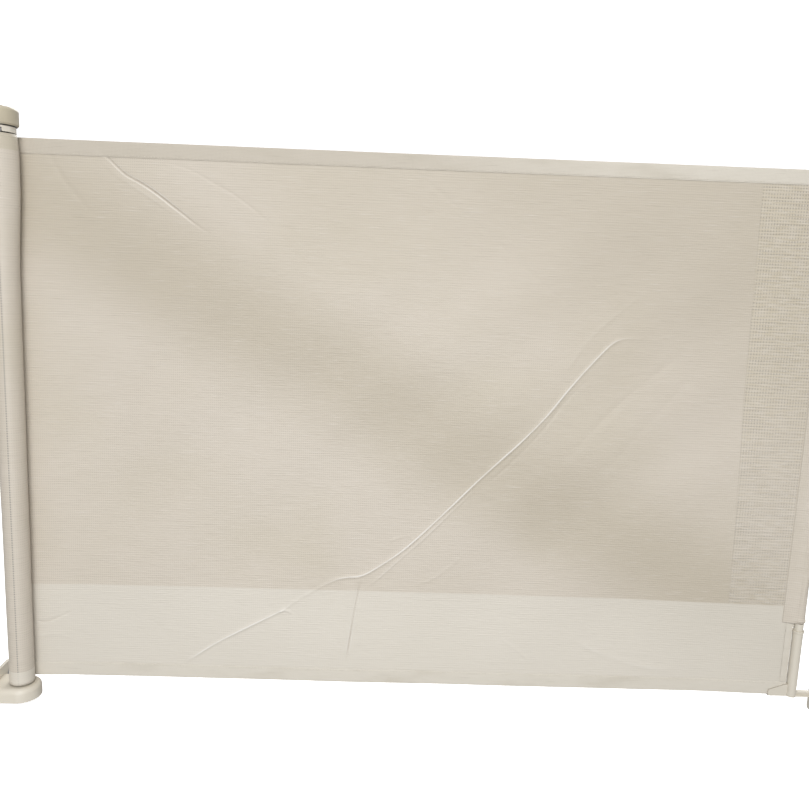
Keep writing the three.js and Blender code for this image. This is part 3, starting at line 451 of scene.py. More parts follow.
def hardMaterial(slot):
    look = hardLook[slot]
    material, tree, shader = newMaterial(slot + "Finish")
    where = coordinates(tree)
    metal = look["metal"] > 0.5
    cloud = noise(tree, where, 22, 3.0)
    grain = noise(tree, stretched(tree, where, (1, 1, 0.05 if metal else 1)), 2200 if metal else 1500, 2.0)
    colour = blendColour(tree, remap(tree, cloud, 0.38, 0.72, 0.0, 0.30), look["colour"], look["dirtAndShade"])
    edge = tree.nodes.new("ShaderNodeNewGeometry").outputs["Pointiness"]
    colour = blendColour(tree, remap(tree, edge, 0.51, 0.60, 0.0, 0.55), colour, look["worn"])
    # painted shade in crevices and recesses, from ambient occlusion, in the dirt colour
    creviceShade = tree.nodes.new("ShaderNodeAmbientOcclusion")
    creviceShade.samples = 6
    creviceShade.inputs["Distance"].default_value = 9 * mm
    colour = blendColour(tree, remap(tree, creviceShade.outputs["AO"], 0.85, 0.35, 0.0, 0.65), colour,
                         look["dirtAndShade"])
    plug(tree, colour, shader.inputs["Base Color"])
    shader.inputs["Metallic"].default_value = look["metal"]
    scuffs = noise(tree, stretched(tree, where, (1, 1, 0.35)), 160, 5.0, 0.65)
    plug(tree, remap(tree, scuffs, 0.40, 0.70, look["roughness"] - 0.05, look["roughness"] + 0.12),
         shader.inputs["Roughness"])
    plug(tree, bump(tree, grain, 0.05 * mm, 0.25), shader.inputs["Normal"])
    shader.inputs["Specular IOR Level"].default_value = 0.5
    return material


hardEdges = {"weld": 0.002 * mm, "flatAngle": 1.5, "sharpAngle": 34, "segments": 2}
softNodes = ["mesh_roll", "mesh_screen", "top_hem", "bottom_hem", "bar_pocket"]


def slotOf(node):
    steel = ("screw", "spring", "pin", "wheel", "arbor", "ring")
    if node in ("roller_tube", "bar_tube"):
        return "tube"
    if node in ("lock_dial", "release_button"):
        return "cap"
    if node.startswith("bar_") and node.endswith("_sleeve"):
        return "sleeve"
    if node in ("spring_collar", "arbor_bearing", "dial_cam", "lock_pawl"):
        return "inner"
    if node.endswith(("_bush", "_end_plug")):
        return "inner"
    if any(word in node for word in steel):
        return "steel"
    return "shell"


def finishHardParts():
    finishes = {slot: hardMaterial(slot) for slot in hardLook}
    for name, node in nodes.items():
        if name in softNodes:
            continue
        slot = slotOf(name)
        mesh = node.data
        mesh.materials.clear()
        mesh.materials.append(finishes[slot])
        if mesh.has_custom_normals:
            mesh.attributes.remove(mesh.attributes["custom_normal"])
        mesh.polygons.foreach_set("use_smooth", [True] * len(mesh.polygons))
        weld = node.modifiers.new("weld", "WELD")
        weld.merge_threshold = hardEdges["weld"]
        flat = node.modifiers.new("flats", "DECIMATE")
        flat.decimate_type = "DISSOLVE"
        flat.angle_limit = math.radians(hardEdges["flatAngle"])
        if "spring" not in name or name == "spring_arbor":
            edge = node.modifiers.new("edges", "BEVEL")
            edge.width = hardLook[slot]["rounding"]
            edge.segments = hardEdges["segments"]
            edge.limit_method = "ANGLE"
            edge.angle_limit = math.radians(hardEdges["sharpAngle"])
            edge.use_clamp_overlap = True
        even = node.modifiers.new("shading", "WEIGHTED_NORMAL")
        even.weight = 80


springShape = {"wire": 0.45 * mm, "turns": 4.5, "perTurn": 20, "sides": 8, "press": 2.5 * mm}


def makeButtonSpring():
    # a real coil in place of the solid one
    s = springShape
    low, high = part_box("button_spring")
    middleX, middleY = (low.x + high.x) / 2, (low.y + high.y) / 2
    radius = (high.x - low.x) / 2 - s["wire"]
    rise = high.z - low.z - 2 * s["wire"]
    steps = int(s["turns"] * s["perTurn"])
    points = []
    for i in range(steps + 1):
        turn = 2 * math.pi * s["turns"] * i / steps
        for k in range(s["sides"]):
            a = -2 * math.pi * k / s["sides"]
            reach = radius + s["wire"] * math.cos(a)
            points.append((middleX + reach * math.cos(turn), middleY + reach * math.sin(turn),
                           low.z + s["wire"] + rise * i / steps + s["wire"] * math.sin(a)))
    spring = newPiece("buttonSpringCoil", points, ringFaces(0, steps + 1, s["sides"]),
                      nodes["button_spring"].data.materials[0])
    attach(spring, "dial")
    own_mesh(spring)
    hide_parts("button_spring")


finishHardParts()
makeButtonSpring()
print("Hard parts finished:", len(nodes) - len(softNodes))


# creases pressed into the cloth: height towards the user (negative for a groove), half width, and
# places along from the roller's axis and up from the bottom edge, all in millimetres
creases = [
    (-2.1, 1.6, [(128, 806), (143, 797), (157, 784), (168, 774), (192, 763), (217, 747), (235, 733),
        (252, 721), (268, 708), (286, 697)]),
    (0.5, 3.2, [(136, 789), (155, 773), (185, 755), (215, 737), (240, 719)]),
    (-0.5, 2.2, [(217, 793), (256, 788), (291, 769), (320, 755), (352, 733), (378, 712)]),
    (-0.45, 4.5, [(54, 811), (72, 774), (92, 748), (120, 716)]),
    (1.7, 2.4, [(973, 569), (954, 562), (915, 567), (893, 561), (872, 539), (833, 492), (789, 429),
        (702, 340), (658, 291), (616, 247), (583, 215), (545, 188), (522, 174), (494, 173), (467, 161),
        (408, 124)]),
    (1.6, 2.4, [(424, 133), (402, 117), (350, 90), (295, 60), (244, 23)]),
    (0.9, 2.0, [(394, 113), (404, 117), (416, 112)]),
    (0.8, 2.0, [(700, 326), (660, 284), (620, 240), (583, 205), (546, 168), (524, 150)]),
    (-1.3, 1.7, [(524, 174), (519, 150), (512, 106), (507, 63), (502, 26)]),
    (-0.5, 2.4, [(862, 506), (824, 467), (790, 414), (739, 357), (700, 318)]),
    (0.35, 3.4, [(946, 642), (897, 604), (866, 575), (842, 544), (812, 494)]),
    (-0.5, 6, [(1008, 552), (937, 496), (880, 440), (824, 362)]),
    (-0.4, 7, [(1060, 570), (984, 475), (915, 389), (870, 330)]),
    (0.4, 2.6, [(690, 222), (662, 194), (634, 171), (606, 165)]),
    (0.4, 2.0, [(566, 232), (580, 241), (604, 244)]),
    (0.35, 2.6, [(838, 660), (865, 636), (902, 603)]),
    (-0.35, 3.6, [(573, 804), (636, 757), (713, 696), (783, 640), (846, 591)]),
    (0.5, 6, [(859, 83), (909, 59), (976, 38), (1041, 33)]),
    (0.35, 3, [(748, 79), (774, 63), (800, 42)]),
    (-0.8, 2.4, [(12, 92), (30, 87), (52, 98), (73, 108)]),
    (0.5, 3.4, [(14, 62), (40, 70), (66, 66)]),
    (-0.7, 2.0, [(572, 822), (575, 812), (580, 802)]),
]

screenShape = {
    # broad folds across the screen: place up the slope, width, steepness (positive turns downwards)
    "swells": [(60, 120, -0.020), (330, 130, -0.030), (668, 105, 0.062), (880, 90, -0.045),
               (1085, 75, 0.045), (1230, 70, -0.02)],
    "lean": (0.484, 0.875),
    "slack": 1.3,         # smaller uneven sag
    "pucker": 0.10,
    "calmRoller": 170,    # the folds grow over this distance from the roller
    "calmBar": (20, 150),       # and die out before the bar: room left, distance
    "calmEdge": (160, 0.35),    # distance from a hem, and what is left of the folds there
    "nearRoller": 90,     # how far from the roller the cloth takes to reach its own plane
    "coarse": 9,          # spacing of the cloth's points away from any crease
}

creaseShape = {
    "ends": 0.22,         # share of its length over which a crease fades at each end
    "endHeight": 0.15,    # what is left of its height there
    "uneven": 0.15,       # how much the height wanders along it
    "unevenPitch": 17.0,
    "ridgeHighlight": 0.55,    # width of the painted highlight line on a ridge or a groove's shoulder, in crease widths
    "shoulder": 1.5,      # how far from a groove's middle its shoulders run, in crease widths
    "shoulderHighlight": 0.7,
    "grooveWidth": 0.5,
    # cap on the strength of a crease's painted highlight and shade
    "mostShading": 2.0,
}


def nearestOnPath(points, x, z):
    # distance from a smoothed path, and how far along it the nearest place is
    path = smoothPath(points)
    steps = np.linalg.norm(np.diff(path, axis=0), axis=1)
    best = np.full(x.shape, 1e9)
    where = np.zeros(x.shape)
    start = 0.0
    for (ax, az), (bx, bz), length in zip(path[:-1], path[1:], steps):
        t = np.clip(((x - ax) * (bx - ax) + (z - az) * (bz - az)) / max(length * length, 1e-9), 0, 1)
        d = np.hypot(x - ax - t * (bx - ax), z - az - t * (bz - az))
        nearer = d < best
        best = np.where(nearer, d, best)
        where = np.where(nearer, start + t * length, where)
        start += length
    return best, where, start


def creaseField(x, z):
    # height of all creases, the painted highlight and shade along them (partly the coating's whitening),
    # and the room to the nearest of them
    c = creaseShape
    rise, foldWhiteningAndShading = np.zeros(x.shape), np.zeros(x.shape)
    nearest = np.full(x.shape, 1e9)
    for height, width, path in creases:
        d, along, total = nearestOnPath(path, x, z)
        fade = ease(along / total / c["ends"]) * ease((1 - along / total) / c["ends"])
        fade = c["endHeight"] + (1 - c["endHeight"]) * fade
        fade = fade * (1 - c["uneven"] + c["uneven"] * np.sin(along / c["unevenPitch"] + width))
        rise += height * fade * np.exp(-(d / width) ** 2)
        strength = min(abs(height), c["mostShading"]) * fade
        line = c["ridgeHighlight"] * width
        # a ridge gets a painted highlight, partly the coating's whitening; a groove gets painted shade in
        # its middle and a painted highlight on its shoulders
        if height > 0:
            foldWhiteningAndShading += strength * np.exp(-(d / line) ** 2)
        else:
            foldWhiteningAndShading += strength * (c["shoulderHighlight"] * np.exp(-((d - c["shoulder"] * width) / line) ** 2)
                                - np.exp(-(d / (c["grooveWidth"] * width)) ** 2))
        nearest = np.minimum(nearest, d - width)
    return rise, foldWhiteningAndShading, nearest


def swell(x, z):
    # long soft folds that run down from the upper left, with wave lengths in millimetres
    s = screenShape
    up = x * s["lean"][0] + z * s["lean"][1]
    bend = 26 * np.sin(x / 170 + 0.6)
    broad = sum(steep * width * np.tanh((up + bend - place) / width)
                for place, width, steep in s["swells"])
    small = (np.sin(x / 61 + 1.3 * np.sin(z / 83)) * np.cos(z / 97 + 0.8 * np.sin(x / 141))
             + 0.6 * np.sin((x - z) / 37 + 2.1 * np.sin(z / 150)))
    return broad + s["slack"] * small


def clothRise(x, z):
    # how far the cloth stands from its plane towards the user, in millimetres
    s = screenShape
    length, tall = (barX - rollerX) / mm, (topZ - bottomZ) / mm
    room, dying = s["calmBar"]
    held = ease(x / s["calmRoller"]) * ease((length - room - x) / dying)
    reach, left = s["calmEdge"]
    edges = left + (1 - left) * ease(z / reach) * ease((tall - z) / reach)
    rise = swell(x, z) * held * edges
    rise = rise + s["pucker"] * np.sin(x / 5.3 + np.sin(z / 19)) * np.sin(z / 7.1) * held
    rise = rise + creaseField(x, z)[0]
    # off the roll at a tangent, then out to the screen's own plane
    leaving = sheetY / mm - rollRadius(z) - 0.35
    return rise + leaving * (1 - ease(x / s["nearRoller"]))


def rollRadius(z):
    # the roll is a little looser towards the top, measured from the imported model
    low = rollEnds[0] / mm
    return low + (rollEnds[1] / mm - low) * np.clip(z / ((topZ - bottomZ) / mm), 0, 1)


rollPoints = np.array([v.co for v in nodes["mesh_roll"].data.vertices])
rollReach = np.hypot(rollPoints[:, 0] - rollerX, rollPoints[:, 1])
rollEnds = (rollReach[rollPoints[:, 2] < rollLow.z + mm].max(),
            rollReach[rollPoints[:, 2] > rollHigh.z - mm].max())


def inFrame(x, away, z):
    # from millimetres along the screen, towards the user and up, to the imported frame
    return np.stack([rollerX + x * mm, sheetY - away * mm, bottomZ + z * mm], 1)


def placeCloth(flat):
    x, z = flat[:, 0], flat[:, 1]
    return inFrame(x, clothRise(x, z), z)


def stepsThrough(stops, step):
    # evenly spaced places that pass through every stop
    runs = [np.linspace(a, b, max(2, int(round((b - a) / step)) + 1))[:-1]
            for a, b in zip(stops[:-1], stops[1:])]
    return np.concatenate(runs + [[stops[-1]]])


def clothPatch(columns, rows, step):
    across, up = stepsThrough(columns, step), stepsThrough(rows, step)
    x, z = np.meshgrid(across, up, indexing="ij")
    return np.stack([x.ravel(), z.ravel()], 1), gridFaces(len(across), len(up))


def refined(flat, faces, bands):
    # more points beside the creases, so that each fold is a real one
    bm = bmesh.new()
    made = [bm.verts.new((x, 0, z)) for x, z in flat]
    for f in faces:
        bm.faces.new([made[i] for i in f])
    lowX, highX = flat[:, 0].min(), flat[:, 0].max()
    for band in bands:
        middles = np.array([f.calc_center_median() for f in bm.faces])
        close = creaseField(middles[:, 0], middles[:, 2])[2] < band
        inside = (middles[:, 0] > lowX + 12) & (middles[:, 0] < highX - 12)
        chosen = {e for f, c in zip(list(bm.faces), close & inside) if c for e in f.edges}
        bmesh.ops.subdivide_edges(bm, edges=list(chosen), cuts=1, use_grid_fill=True)
    bm.verts.ensure_lookup_table()
    points = np.array([(v.co.x, v.co.z) for v in bm.verts])
    bm.verts.index_update()
    quads = [[v.index for v in f.verts] for f in bm.faces]
    bm.free()
    return points, quads


# the screen is a long part, attached to the screen's body, and a short one by the bar
screenLook = {
    "endStrip": 64 * mm,       # left of the bar's axis: the part that shears as the bar lifts
    "seamToBar": barX - pocketLow.x,
    "edgeToBar": (sleeveHigh.y - sleeveLow.y) / 2 + 0.5 * mm,
}
splitX = (barX - screenLook["endStrip"] - rollerX) / mm
seamX = (pocketLow.x - rollerX) / mm
edgeX = (barX - screenLook["edgeToBar"] - rollerX) / mm
pocketFrom, pocketTo = (pocketLow.z - bottomZ) / mm, (pocketHigh.z - bottomZ) / mm
tall = (topZ - bottomZ) / mm

meshCloth = clothMaterial("meshCloth")
topTape = hemMaterial("topHemTape", 0.45, 1.05)
lowTape = hemMaterial("lowerHemTape", -0.6, 0.05)
stitchThread = threadMaterial()


def gathers(piece):
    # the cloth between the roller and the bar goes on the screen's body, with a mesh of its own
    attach(piece, "screen")
    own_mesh(piece)


def shears(piece):
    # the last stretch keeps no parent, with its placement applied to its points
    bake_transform(piece)


def makeScreen():
    step = screenShape["coarse"]
    flat, faces = clothPatch((0, splitX), (1, tall - 1), step)
    flat, faces = refined(flat, faces, (10, 5, 2.5))
    main = newPiece("screenCloth", placeCloth(flat), faces, meshCloth, flat * mm, creaseField(*flat.T)[1])
    gathers(main)
    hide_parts("mesh_screen")
    print("Screen cloth:", len(faces), "faces")

    flat, faces = clothPatch((splitX, seamX, edgeX), (1, pocketFrom, pocketTo, tall - 1), 3)
    # beside the pocket the cloth stops at the seam
    middle = flat[faces].mean(1)
    beyond = (middle[:, 0] > seamX) & (middle[:, 1] > pocketFrom) & (middle[:, 1] < pocketTo)
    faces = faces[~beyond]
    used, back = np.unique(faces, return_inverse=True)
    flat, faces = flat[used], back.reshape(faces.shape)
    end = newPiece("screenEndCloth", placeCloth(flat), faces, meshCloth, flat * mm,
                   creaseField(*flat.T)[1])
    shears(end)


makeScreen()


# tapes folded over the screen's two long edges, in millimetres
hemShape = {
    "stand": 0.85,        # tape off the cloth's middle
    "fold": 0.85,         # radius at the folded edge
    "stitchIn": 2.2,      # stitches from the tape's free edge
    "stitchLength": 3.2,
    "stitchPitch": 4.6,
    "stitchRadius": 0.32,
}


def hemSection(tallHere):
    # [off the cloth, up from the fold], front free edge to fold to back free edge
    s = hemShape
    rows = np.concatenate([[tallHere, tallHere - 0.25], np.linspace(tallHere - 0.9, s["fold"], 9)])
    turn = np.linspace(0, math.pi, 7)[1:-1]
    front = [(s["stand"] * (1 - 0.75 * math.exp(-(tallHere - h) / 0.22)), h) for h in rows]
    fold = [(s["stand"] * math.cos(a), s["fold"] * (1 - math.sin(a))) for a in turn]
    back = [(-f[0], f[1]) for f in front[::-1]]
    return np.array(front + fold + back)


def hemPiece(name, left, right, foldZ, direction, tape, step=3.0):
    section = hemSection(hemTall / mm)
    along = np.linspace(left, right, int((right - left) / step) + 1)
    x = np.repeat(along, len(section))
    off = np.tile(section[:, 0], len(along))
    up = np.tile(section[:, 1], len(along))
    z = foldZ + direction * up
    rise = clothRise(x, z) * 0.92 + clothRise(x, np.full(x.shape, foldZ + direction * 8.0)) * 0.08
    # stitches draw the tape in a little beside them
    nearStitch = np.exp(-((up - hemTall / mm + hemShape["stitchIn"]) / 2.0) ** 2)
    wave = 0.16 * np.sin(x * 2 * math.pi / (hemShape["stitchPitch"] * 2)) * nearStitch
    off = off * (1 - 0.22 * nearStitch) + wave
    points = inFrame(x, rise + off, z)
    faces = gridFaces(len(along), len(section))
    if direction < 0:
        faces = faces[:, ::-1]
    girth = girthAlong(section)
    uvs = np.stack([x, np.tile(girth, len(along))], 1) * mm
    return newPiece(name, points, faces, tape, uvs), girth[-1]


def stitchRow(name, places, directions, outward):
    # short threads lying on the cloth, each a bent capsule
    s = hemShape
    sides, steps = 6, 5
    points, faces = [], []
    for place, direction, out in zip(places, directions, outward):
        side = np.cross(direction, out)
        first = len(points)
        for i in range(steps):
            t = i / (steps - 1)
            lift = math.sin(t * math.pi)
            centre = place + direction * (t - 0.5) * s["stitchLength"] * mm
            centre = centre + out * (lift * 0.32 - 0.12) * mm
            radius = s["stitchRadius"] * mm * (0.45 + 0.55 * lift ** 0.5)
            for k in range(sides):
                a = 2 * math.pi * k / sides
                points.append(centre + (out * math.cos(a) + side * math.sin(a)) * radius)
        faces += ringFaces(first, steps, sides)
    return newPiece(name, points, faces, stitchThread)


def hemStitches(name, left, right, z):
    s = hemShape
    along = np.arange(left + s["stitchPitch"] / 2, right, s["stitchPitch"])
    level = np.full(along.shape, z)
    places = []
    for side in (1, -1):
        rise = clothRise(along, level) + side * s["stand"] * 0.9
        places.append(inFrame(along, rise, level))
    count = len(along)
    directions = [np.array((1.0, 0, 0))] * (2 * count)
    return stitchRow(name, np.vstack(places), directions, frontAndBack(count))


def makeHems():
    for level, foldZ, direction, tape in (("bottom", 0.0, 1, lowTape), ("top", tall, -1, topTape)):
        stitchZ = foldZ + direction * (hemTall / mm - hemShape["stitchIn"])
        main, girth = hemPiece(level + "Hem", 0, splitX, foldZ, direction, tape)
        gathers(main)
        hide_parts(level + "_hem")
        threads = hemStitches(level + "HemStitches", 0, splitX, stitchZ)
        gathers(threads)
        end, girth = hemPiece(level + "HemEnd", splitX, edgeX, foldZ, direction, tape)
        shears(end)
        endThreads = hemStitches(level + "HemEndStitches", splitX, edgeX, stitchZ)
        shears(endThreads)


makeHems()
print("Hems sewn on")


# the screen's side edge, turned over above and below the pocket, in millimetres
sideFold = {
    "width": 11.0,
    "stand": 0.7,
    "fold": 0.6,          # radius at the folded edge
    "wave": 0.12,
    "neckReach": 2.2,     # wider beside the pocket, where the sleeves have a neck
}


def makeSideFolds():
    s = sideFold
    for level, low, high in (("lower", hemTall / mm + 1, pocketFrom + 1),
                             ("upper", pocketTo - 1, tall - hemTall / mm - 1)):
        turn = np.linspace(-math.pi / 2, math.pi / 2, 7)
        section = [(edgeX - s["width"], s["stand"]), (edgeX - s["width"] / 2, s["stand"])]
        section += [(edgeX - s["fold"] + s["fold"] * math.cos(a), -s["stand"] * math.sin(a)) for a in turn]
        section += [(edgeX - s["width"] / 2, -s["stand"]), (edgeX - s["width"], -s["stand"])]
        section = np.array(section)
        up = np.linspace(low, high, int((high - low) / 3) + 1)
        x = np.tile(section[:, 0], len(up))
        off = np.tile(section[:, 1], len(up))
        z = np.repeat(up, len(section))
        off = off + s["wave"] * np.sin(z / 4.1) * np.sign(off)
        nearPocket = ease((9 - np.minimum(abs(z - pocketFrom), abs(z - pocketTo))) / 4)
        x = x + s["neckReach"] * nearPocket * (x - edgeX + s["width"]) / s["width"]
        points = inFrame(x, clothRise(x, z) + off, z)
        girth = girthAlong(section)
        uvs = np.stack([np.tile(girth, len(up)), z], 1) * mm
        fold = newPiece(level + "SideFold", points, gridFaces(len(up), len(section)), lowTape, uvs)
        shears(fold)


makeSideFolds()


# the pocket round the bar, in millimetres
pocketShape = {
    "radius": (pocketHigh.y - pocketLow.y) / 2 / mm - 0.35,
    "seamIn": 2.0,        # sewn seam inside the pocket's free edge
    "stand": 0.9,
    "throat": 1.62,       # where the two layers part, in radii from the bar's axis
    "flare": 1.6,
    "wrap": 0.74,         # how far each layer goes round, as a share of half a turn
    "wall": 0.55,
    "ripple": 0.6,
    "endSwell": 0.7,      # the turned-in ends stand out a little, then close on the bar
    "endClose": 1.2,
}


def pocketSection(radius, steps=44):
    # [along from the bar axis, off the plane], from the front seam round the bar to the back one
    s = pocketShape
    seam = -screenLook["seamToBar"] / mm
    throat = -radius * s["throat"]
    lead = np.linspace(0, 1, 8)
    wrap = np.linspace(math.pi * s["wrap"], -math.pi * s["wrap"], steps)
    arc = np.stack([radius * np.cos(wrap), radius * np.sin(wrap)], 1)
    front, back = ([(1 - t) ** 2 * np.array((seam, stand)) + t * t * end
                    + 2 * t * (1 - t) * np.array((throat, lean)) for t in lead[:-1]]
                   for stand, lean, end in ((0.0, s["stand"] * s["flare"], arc[0]),
                                            (-s["stand"], -s["stand"] * s["flare"], arc[-1])))
    back = back[::-1]
    return np.vstack([front, arc, back])


def makePocket():
    s = pocketShape
    low, high = pocketFrom, pocketTo
    up = np.concatenate([np.linspace(low, low + 12, 13)[:-1], np.linspace(low + 12, high - 12, 150),
                         np.linspace(high - 12, high, 13)[1:]])
    base = pocketSection(s["radius"])
    count = len(base)
    z = np.repeat(up, count)
    x = np.tile(base[:, 0], len(up))
    y = np.tile(base[:, 1], len(up))
    angle = np.arctan2(y, x)
    away = ease((x + s["radius"] * 1.3) / 8)
    fromEnd = np.minimum(z - low, high - z)
    ripple = (np.sin(z / 23 + 1.7 * np.sin(angle * 2 + z / 61)) * np.cos(z / 41 + angle)
              + 0.6 * np.sin(z / 9.5 + angle * 3) * ease((60 - fromEnd) / 60))
    swell = (ripple - 0.9) * s["ripple"] * away
    # each end is turned over and sewn, which makes a thicker rim
    pucker = 1 + 0.5 * np.sin(angle * 9 + 1.5 * np.sin(angle * 4))
    rim = (s["endSwell"] * np.exp(-((fromEnd - 5.0) / 3.0) ** 2) * pucker
           - s["endClose"] * np.exp(-(fromEnd / 1.7) ** 2)) * away
    scale = 1 + (swell + rim) / np.maximum(np.hypot(x, y), 1)
    plane = sheetY - clothRise(np.full(z.shape, seamX), z) * mm * (1 - away)
    points = np.stack([barX + x * scale * mm, plane - y * scale * mm, bottomZ + z * mm], 1)
    girth = girthAlong(base)
    uvs = np.stack([np.tile(girth, len(up)), z], 1) * mm
    pocketCloth = clothMaterial("pocketCloth", zones=False, closed=0.20)
    pocket = newPiece("barPocket", points, gridFaces(len(up), count)[:, ::-1], pocketCloth, uvs)
    thicken(pocket, s["wall"] * mm)
    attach(pocket, "pull_bar")
    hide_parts("bar_pocket")

    level = np.arange(low + 4, high - 4, hemShape["stitchPitch"])
    off = s["wall"] / 2 + 0.1
    seamLine = np.full(level.shape, seamX + s["seamIn"])
    rise = clothRise(seamLine, level)
    places = [inFrame(seamLine, rise + shift, level) for shift in (off, -s["stand"] - off)]
    seam = stitchRow("pocketStitches", np.vstack(places),
                     [np.array((0, 0, 1.0))] * (2 * len(level)), frontAndBack(len(level)))
    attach(seam, "pull_bar")


makePocket()
print("Pocket sewn round the bar")


# the cloth wound on the tube, in millimetres
rollShape = {
    "layer": 0.62,        # pitch of the windings
    "cloth": 0.5,
    "seamTurn": 8,        # degrees right of the front where the joint line shows
    "bandStep": 0.25,     # extra thickness where the hems are wound in
    "bulge": 5.0,         # how far the last turn stands off near the top
    "bulgeFrom": 620,
    "joint": 0.30,        # height of the joint line, and its width
    "jointWidth": 0.9,
    "inside": 0.45,       # first turn off the tube
    "rows": 64,
    "perTurn": 72,
}


def makeRoll():
    s = rollShape
    inner = tubeRadius / mm + s["inside"]
    outerLow = rollEnds[0] / mm - s["cloth"] / 2
    turns = int((outerLow - inner) / s["layer"])
    # the outermost winding ends at the back, where the screen leaves the roll
    back = math.pi / 2
    angles = back + np.linspace(-turns * 2 * math.pi, 0, turns * s["perTurn"] + 1)
    share = np.linspace(0, 1, len(angles))
    rows = np.concatenate([np.linspace(0, hemTall / mm, 6)[:-1],
                           np.linspace(hemTall / mm, tall - hemTall / mm, s["rows"]),
                           np.linspace(tall - hemTall / mm, tall, 6)[1:]])
    a, z = np.meshgrid(angles, rows, indexing="ij")
    t = np.repeat(share[:, None], len(rows), 1)
    outer = rollRadius(z) - s["cloth"] / 2 - 0.1
    radius = inner + (outer - inner) * t
    last = ease((a - (back - 2 * math.pi)) / 0.6)
    wavy = 0.10 * np.sin(z / 31 + a) + 0.06 * np.sin(z / 7.3 + 3 * a)
    inBand = ease((hemTall / mm - z) / 1.5 + 0.5) + ease((z - tall + hemTall / mm) / 1.5 + 0.5)
    seamAngle = math.radians(-90 + s["seamTurn"])
    fromSeam = (a - seamAngle) * radius
    ridge = s["joint"] * np.exp(-(fromSeam / s["jointWidth"]) ** 2) * last
    loose = s["bulge"] * ease((z - s["bulgeFrom"]) / 140) * (0.45 + 0.55 * ease((tall + 4 - z) / 34))
    radius = radius + loose * np.exp(-((a - 0.15) / 0.75) ** 2) * last
    radius = radius + (wavy - 0.2 + s["bandStep"] * inBand) * last + ridge
    points = np.stack([rollerX + radius * np.cos(a) * mm, radius * np.sin(a) * mm, bottomZ + z * mm], 2)
    step = np.linalg.norm(np.diff(points[:, len(rows) // 2], axis=0), axis=1)
    along = np.concatenate([[0], np.cumsum(step)])
    along = along - along[-1]
    uvs = np.stack([np.repeat(along[:, None], len(rows), 1), z * mm], 2)
    seamU = float(np.interp(seamAngle, angles, along))
    faces = gridFaces(len(angles), len(rows))[:, ::-1]
    rollCloth = clothMaterial("woundCloth", zones=False, seam=seamU, hemBands=True, closed=0.12)
    roll = newPiece("woundCloth", points.reshape(-1, 3), faces, rollCloth, uvs.reshape(-1, 2))
    thicken(roll, s["cloth"] * mm)
    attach(roll, "roller")
    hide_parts("mesh_roll")
    print("Roll wound:", turns, "turns,", round(-float(along[0]), 3), "m of cloth")


makeRoll()


# floor, light and camera
studio = {
    "floorColour": (0.93, 0.93, 0.93, 1),
    "floorGlow": 0.80,
    "floorRadius": 4.5,
    "wallCurve": 1.5,            # radius of the floor's turn up into the wall
    "wallTop": 6.0,
    "skyAbove": 0.50,
    "skyBelow": 0.30,
    "lights": [                  # name, place, power, size
        ("key", (0.72, -2.7, 2.9), 59, 1.1),
        ("fill", (0.45, -2.4, 0.10), 28, 1.6),
        ("back", (0.55, 2.6, 2.6), 66, 2.0),
    ],
    "lightsAim": 0.4,            # height that the lights point at
    "camera": (601.1, -1143.4, 640.3),
    "yaw": 1.09,
    "pitch": 9.09,
    "roll": 2.16,
    "lens": 34.71,
    "sensor": 36,
}


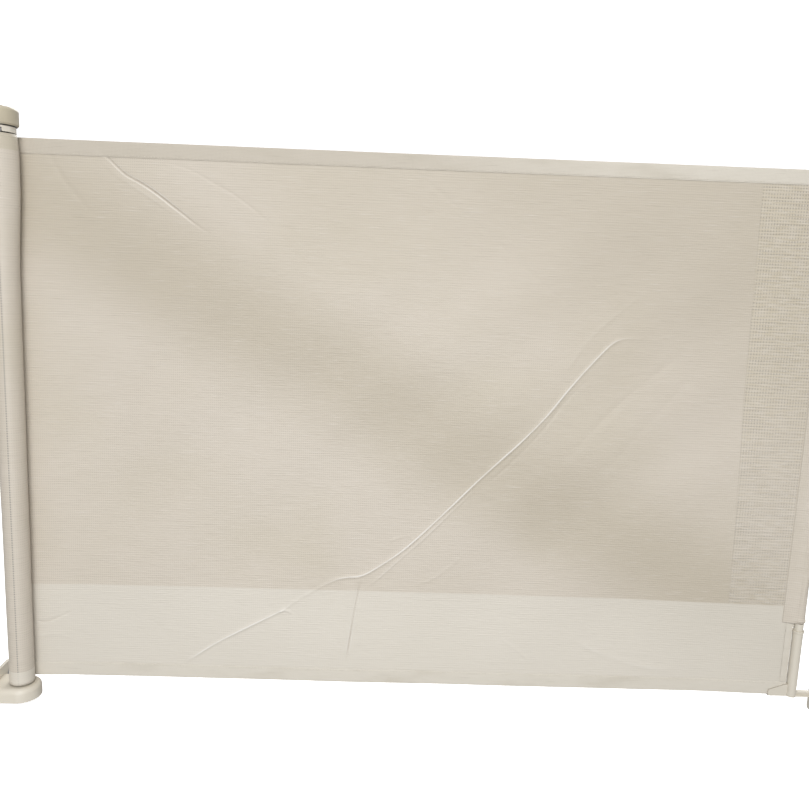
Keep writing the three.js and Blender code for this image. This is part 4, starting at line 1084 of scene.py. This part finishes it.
def makeFloor():
    # a pale floor that curves up all round into a plain wall
    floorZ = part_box("lower_catch")[0].z - 1 * mm
    middle = (barX / 2, 0.0)
    reach, curve = studio["floorRadius"], studio["wallCurve"]
    profile = [(r, 0.0) for r in (0.0, 1.5, 3.0, reach)]
    profile += [(reach + curve * math.sin(a), curve * (1 - math.cos(a)))
                for a in np.linspace(0, math.pi / 2, 13)[1:]]
    profile.append((profile[-1][0], studio["wallTop"]))
    turn = np.linspace(0, 2 * math.pi, 97)
    points = [(middle[0] + r * math.cos(a), middle[1] + r * math.sin(a), floorZ + z)
              for a in turn for r, z in profile]
    material, _, shader = newMaterial("paleFloor")
    setInputs(shader, {"Base Color": studio["floorColour"], "Roughness": 0.9,
                       "Emission Color": (1, 1, 1, 1), "Emission Strength": studio["floorGlow"]})
    floor = newPiece("floor", points, gridFaces(len(turn), len(profile)), material)
    floor.visible_diffuse = False      # it shows white without lighting the gate from below
    floor.visible_glossy = False
    floor.visible_shadow = False


def makeLights():
    for name, place, power, size in studio["lights"]:
        data = bpy.data.lights.new(name, "AREA")
        data.energy = power
        data.size = size
        light = bpy.data.objects.new(name, data)
        light.location = place
        target = Vector((barX / 2, 0, studio["lightsAim"]))
        light.rotation_euler = (target - Vector(place)).to_track_quat("-Z", "Y").to_euler()
        bpy.context.scene.collection.objects.link(light)
    world = bpy.data.worlds.new("studio")
    bpy.context.scene.world = world
    world.use_nodes = True
    background = world.node_tree.nodes["Background"]
    tree = world.node_tree
    parts = tree.nodes.new("ShaderNodeSeparateXYZ")
    tree.links.new(coordinates(tree, "Generated"), parts.inputs[0])
    background.inputs["Color"].default_value = (1, 1, 1, 1)
    plug(tree, remap(tree, parts.outputs[2], -0.35, 0.5, studio["skyBelow"], studio["skyAbove"]),
         background.inputs["Strength"])


def makeCamera():
    data = bpy.data.cameras.new("camera")
    data.lens = studio["lens"]
    data.sensor_width = studio["sensor"]
    data.clip_start = 0.01
    camera = bpy.data.objects.new("camera", data)
    yaw, pitch, roll = (math.radians(studio[k]) for k in ("yaw", "pitch", "roll"))
    forward = Vector((math.sin(yaw) * math.cos(pitch), math.cos(yaw) * math.cos(pitch), -math.sin(pitch)))
    right = Vector((math.cos(yaw), -math.sin(yaw), 0))
    up = right.cross(forward)
    across = right * math.cos(roll) + up * math.sin(roll)
    above = up * math.cos(roll) - right * math.sin(roll)
    turn = Matrix((across, above, -forward)).transposed()
    camera.matrix_world = Matrix.Translation(Vector(studio["camera"]) * mm) @ turn.to_4x4()
    bpy.context.scene.collection.objects.link(camera)
    bpy.context.scene.camera = camera


makeFloor()
makeLights()
makeCamera()
bpy.context.scene.view_settings.view_transform = "Standard"
print("Floor, light and camera set")
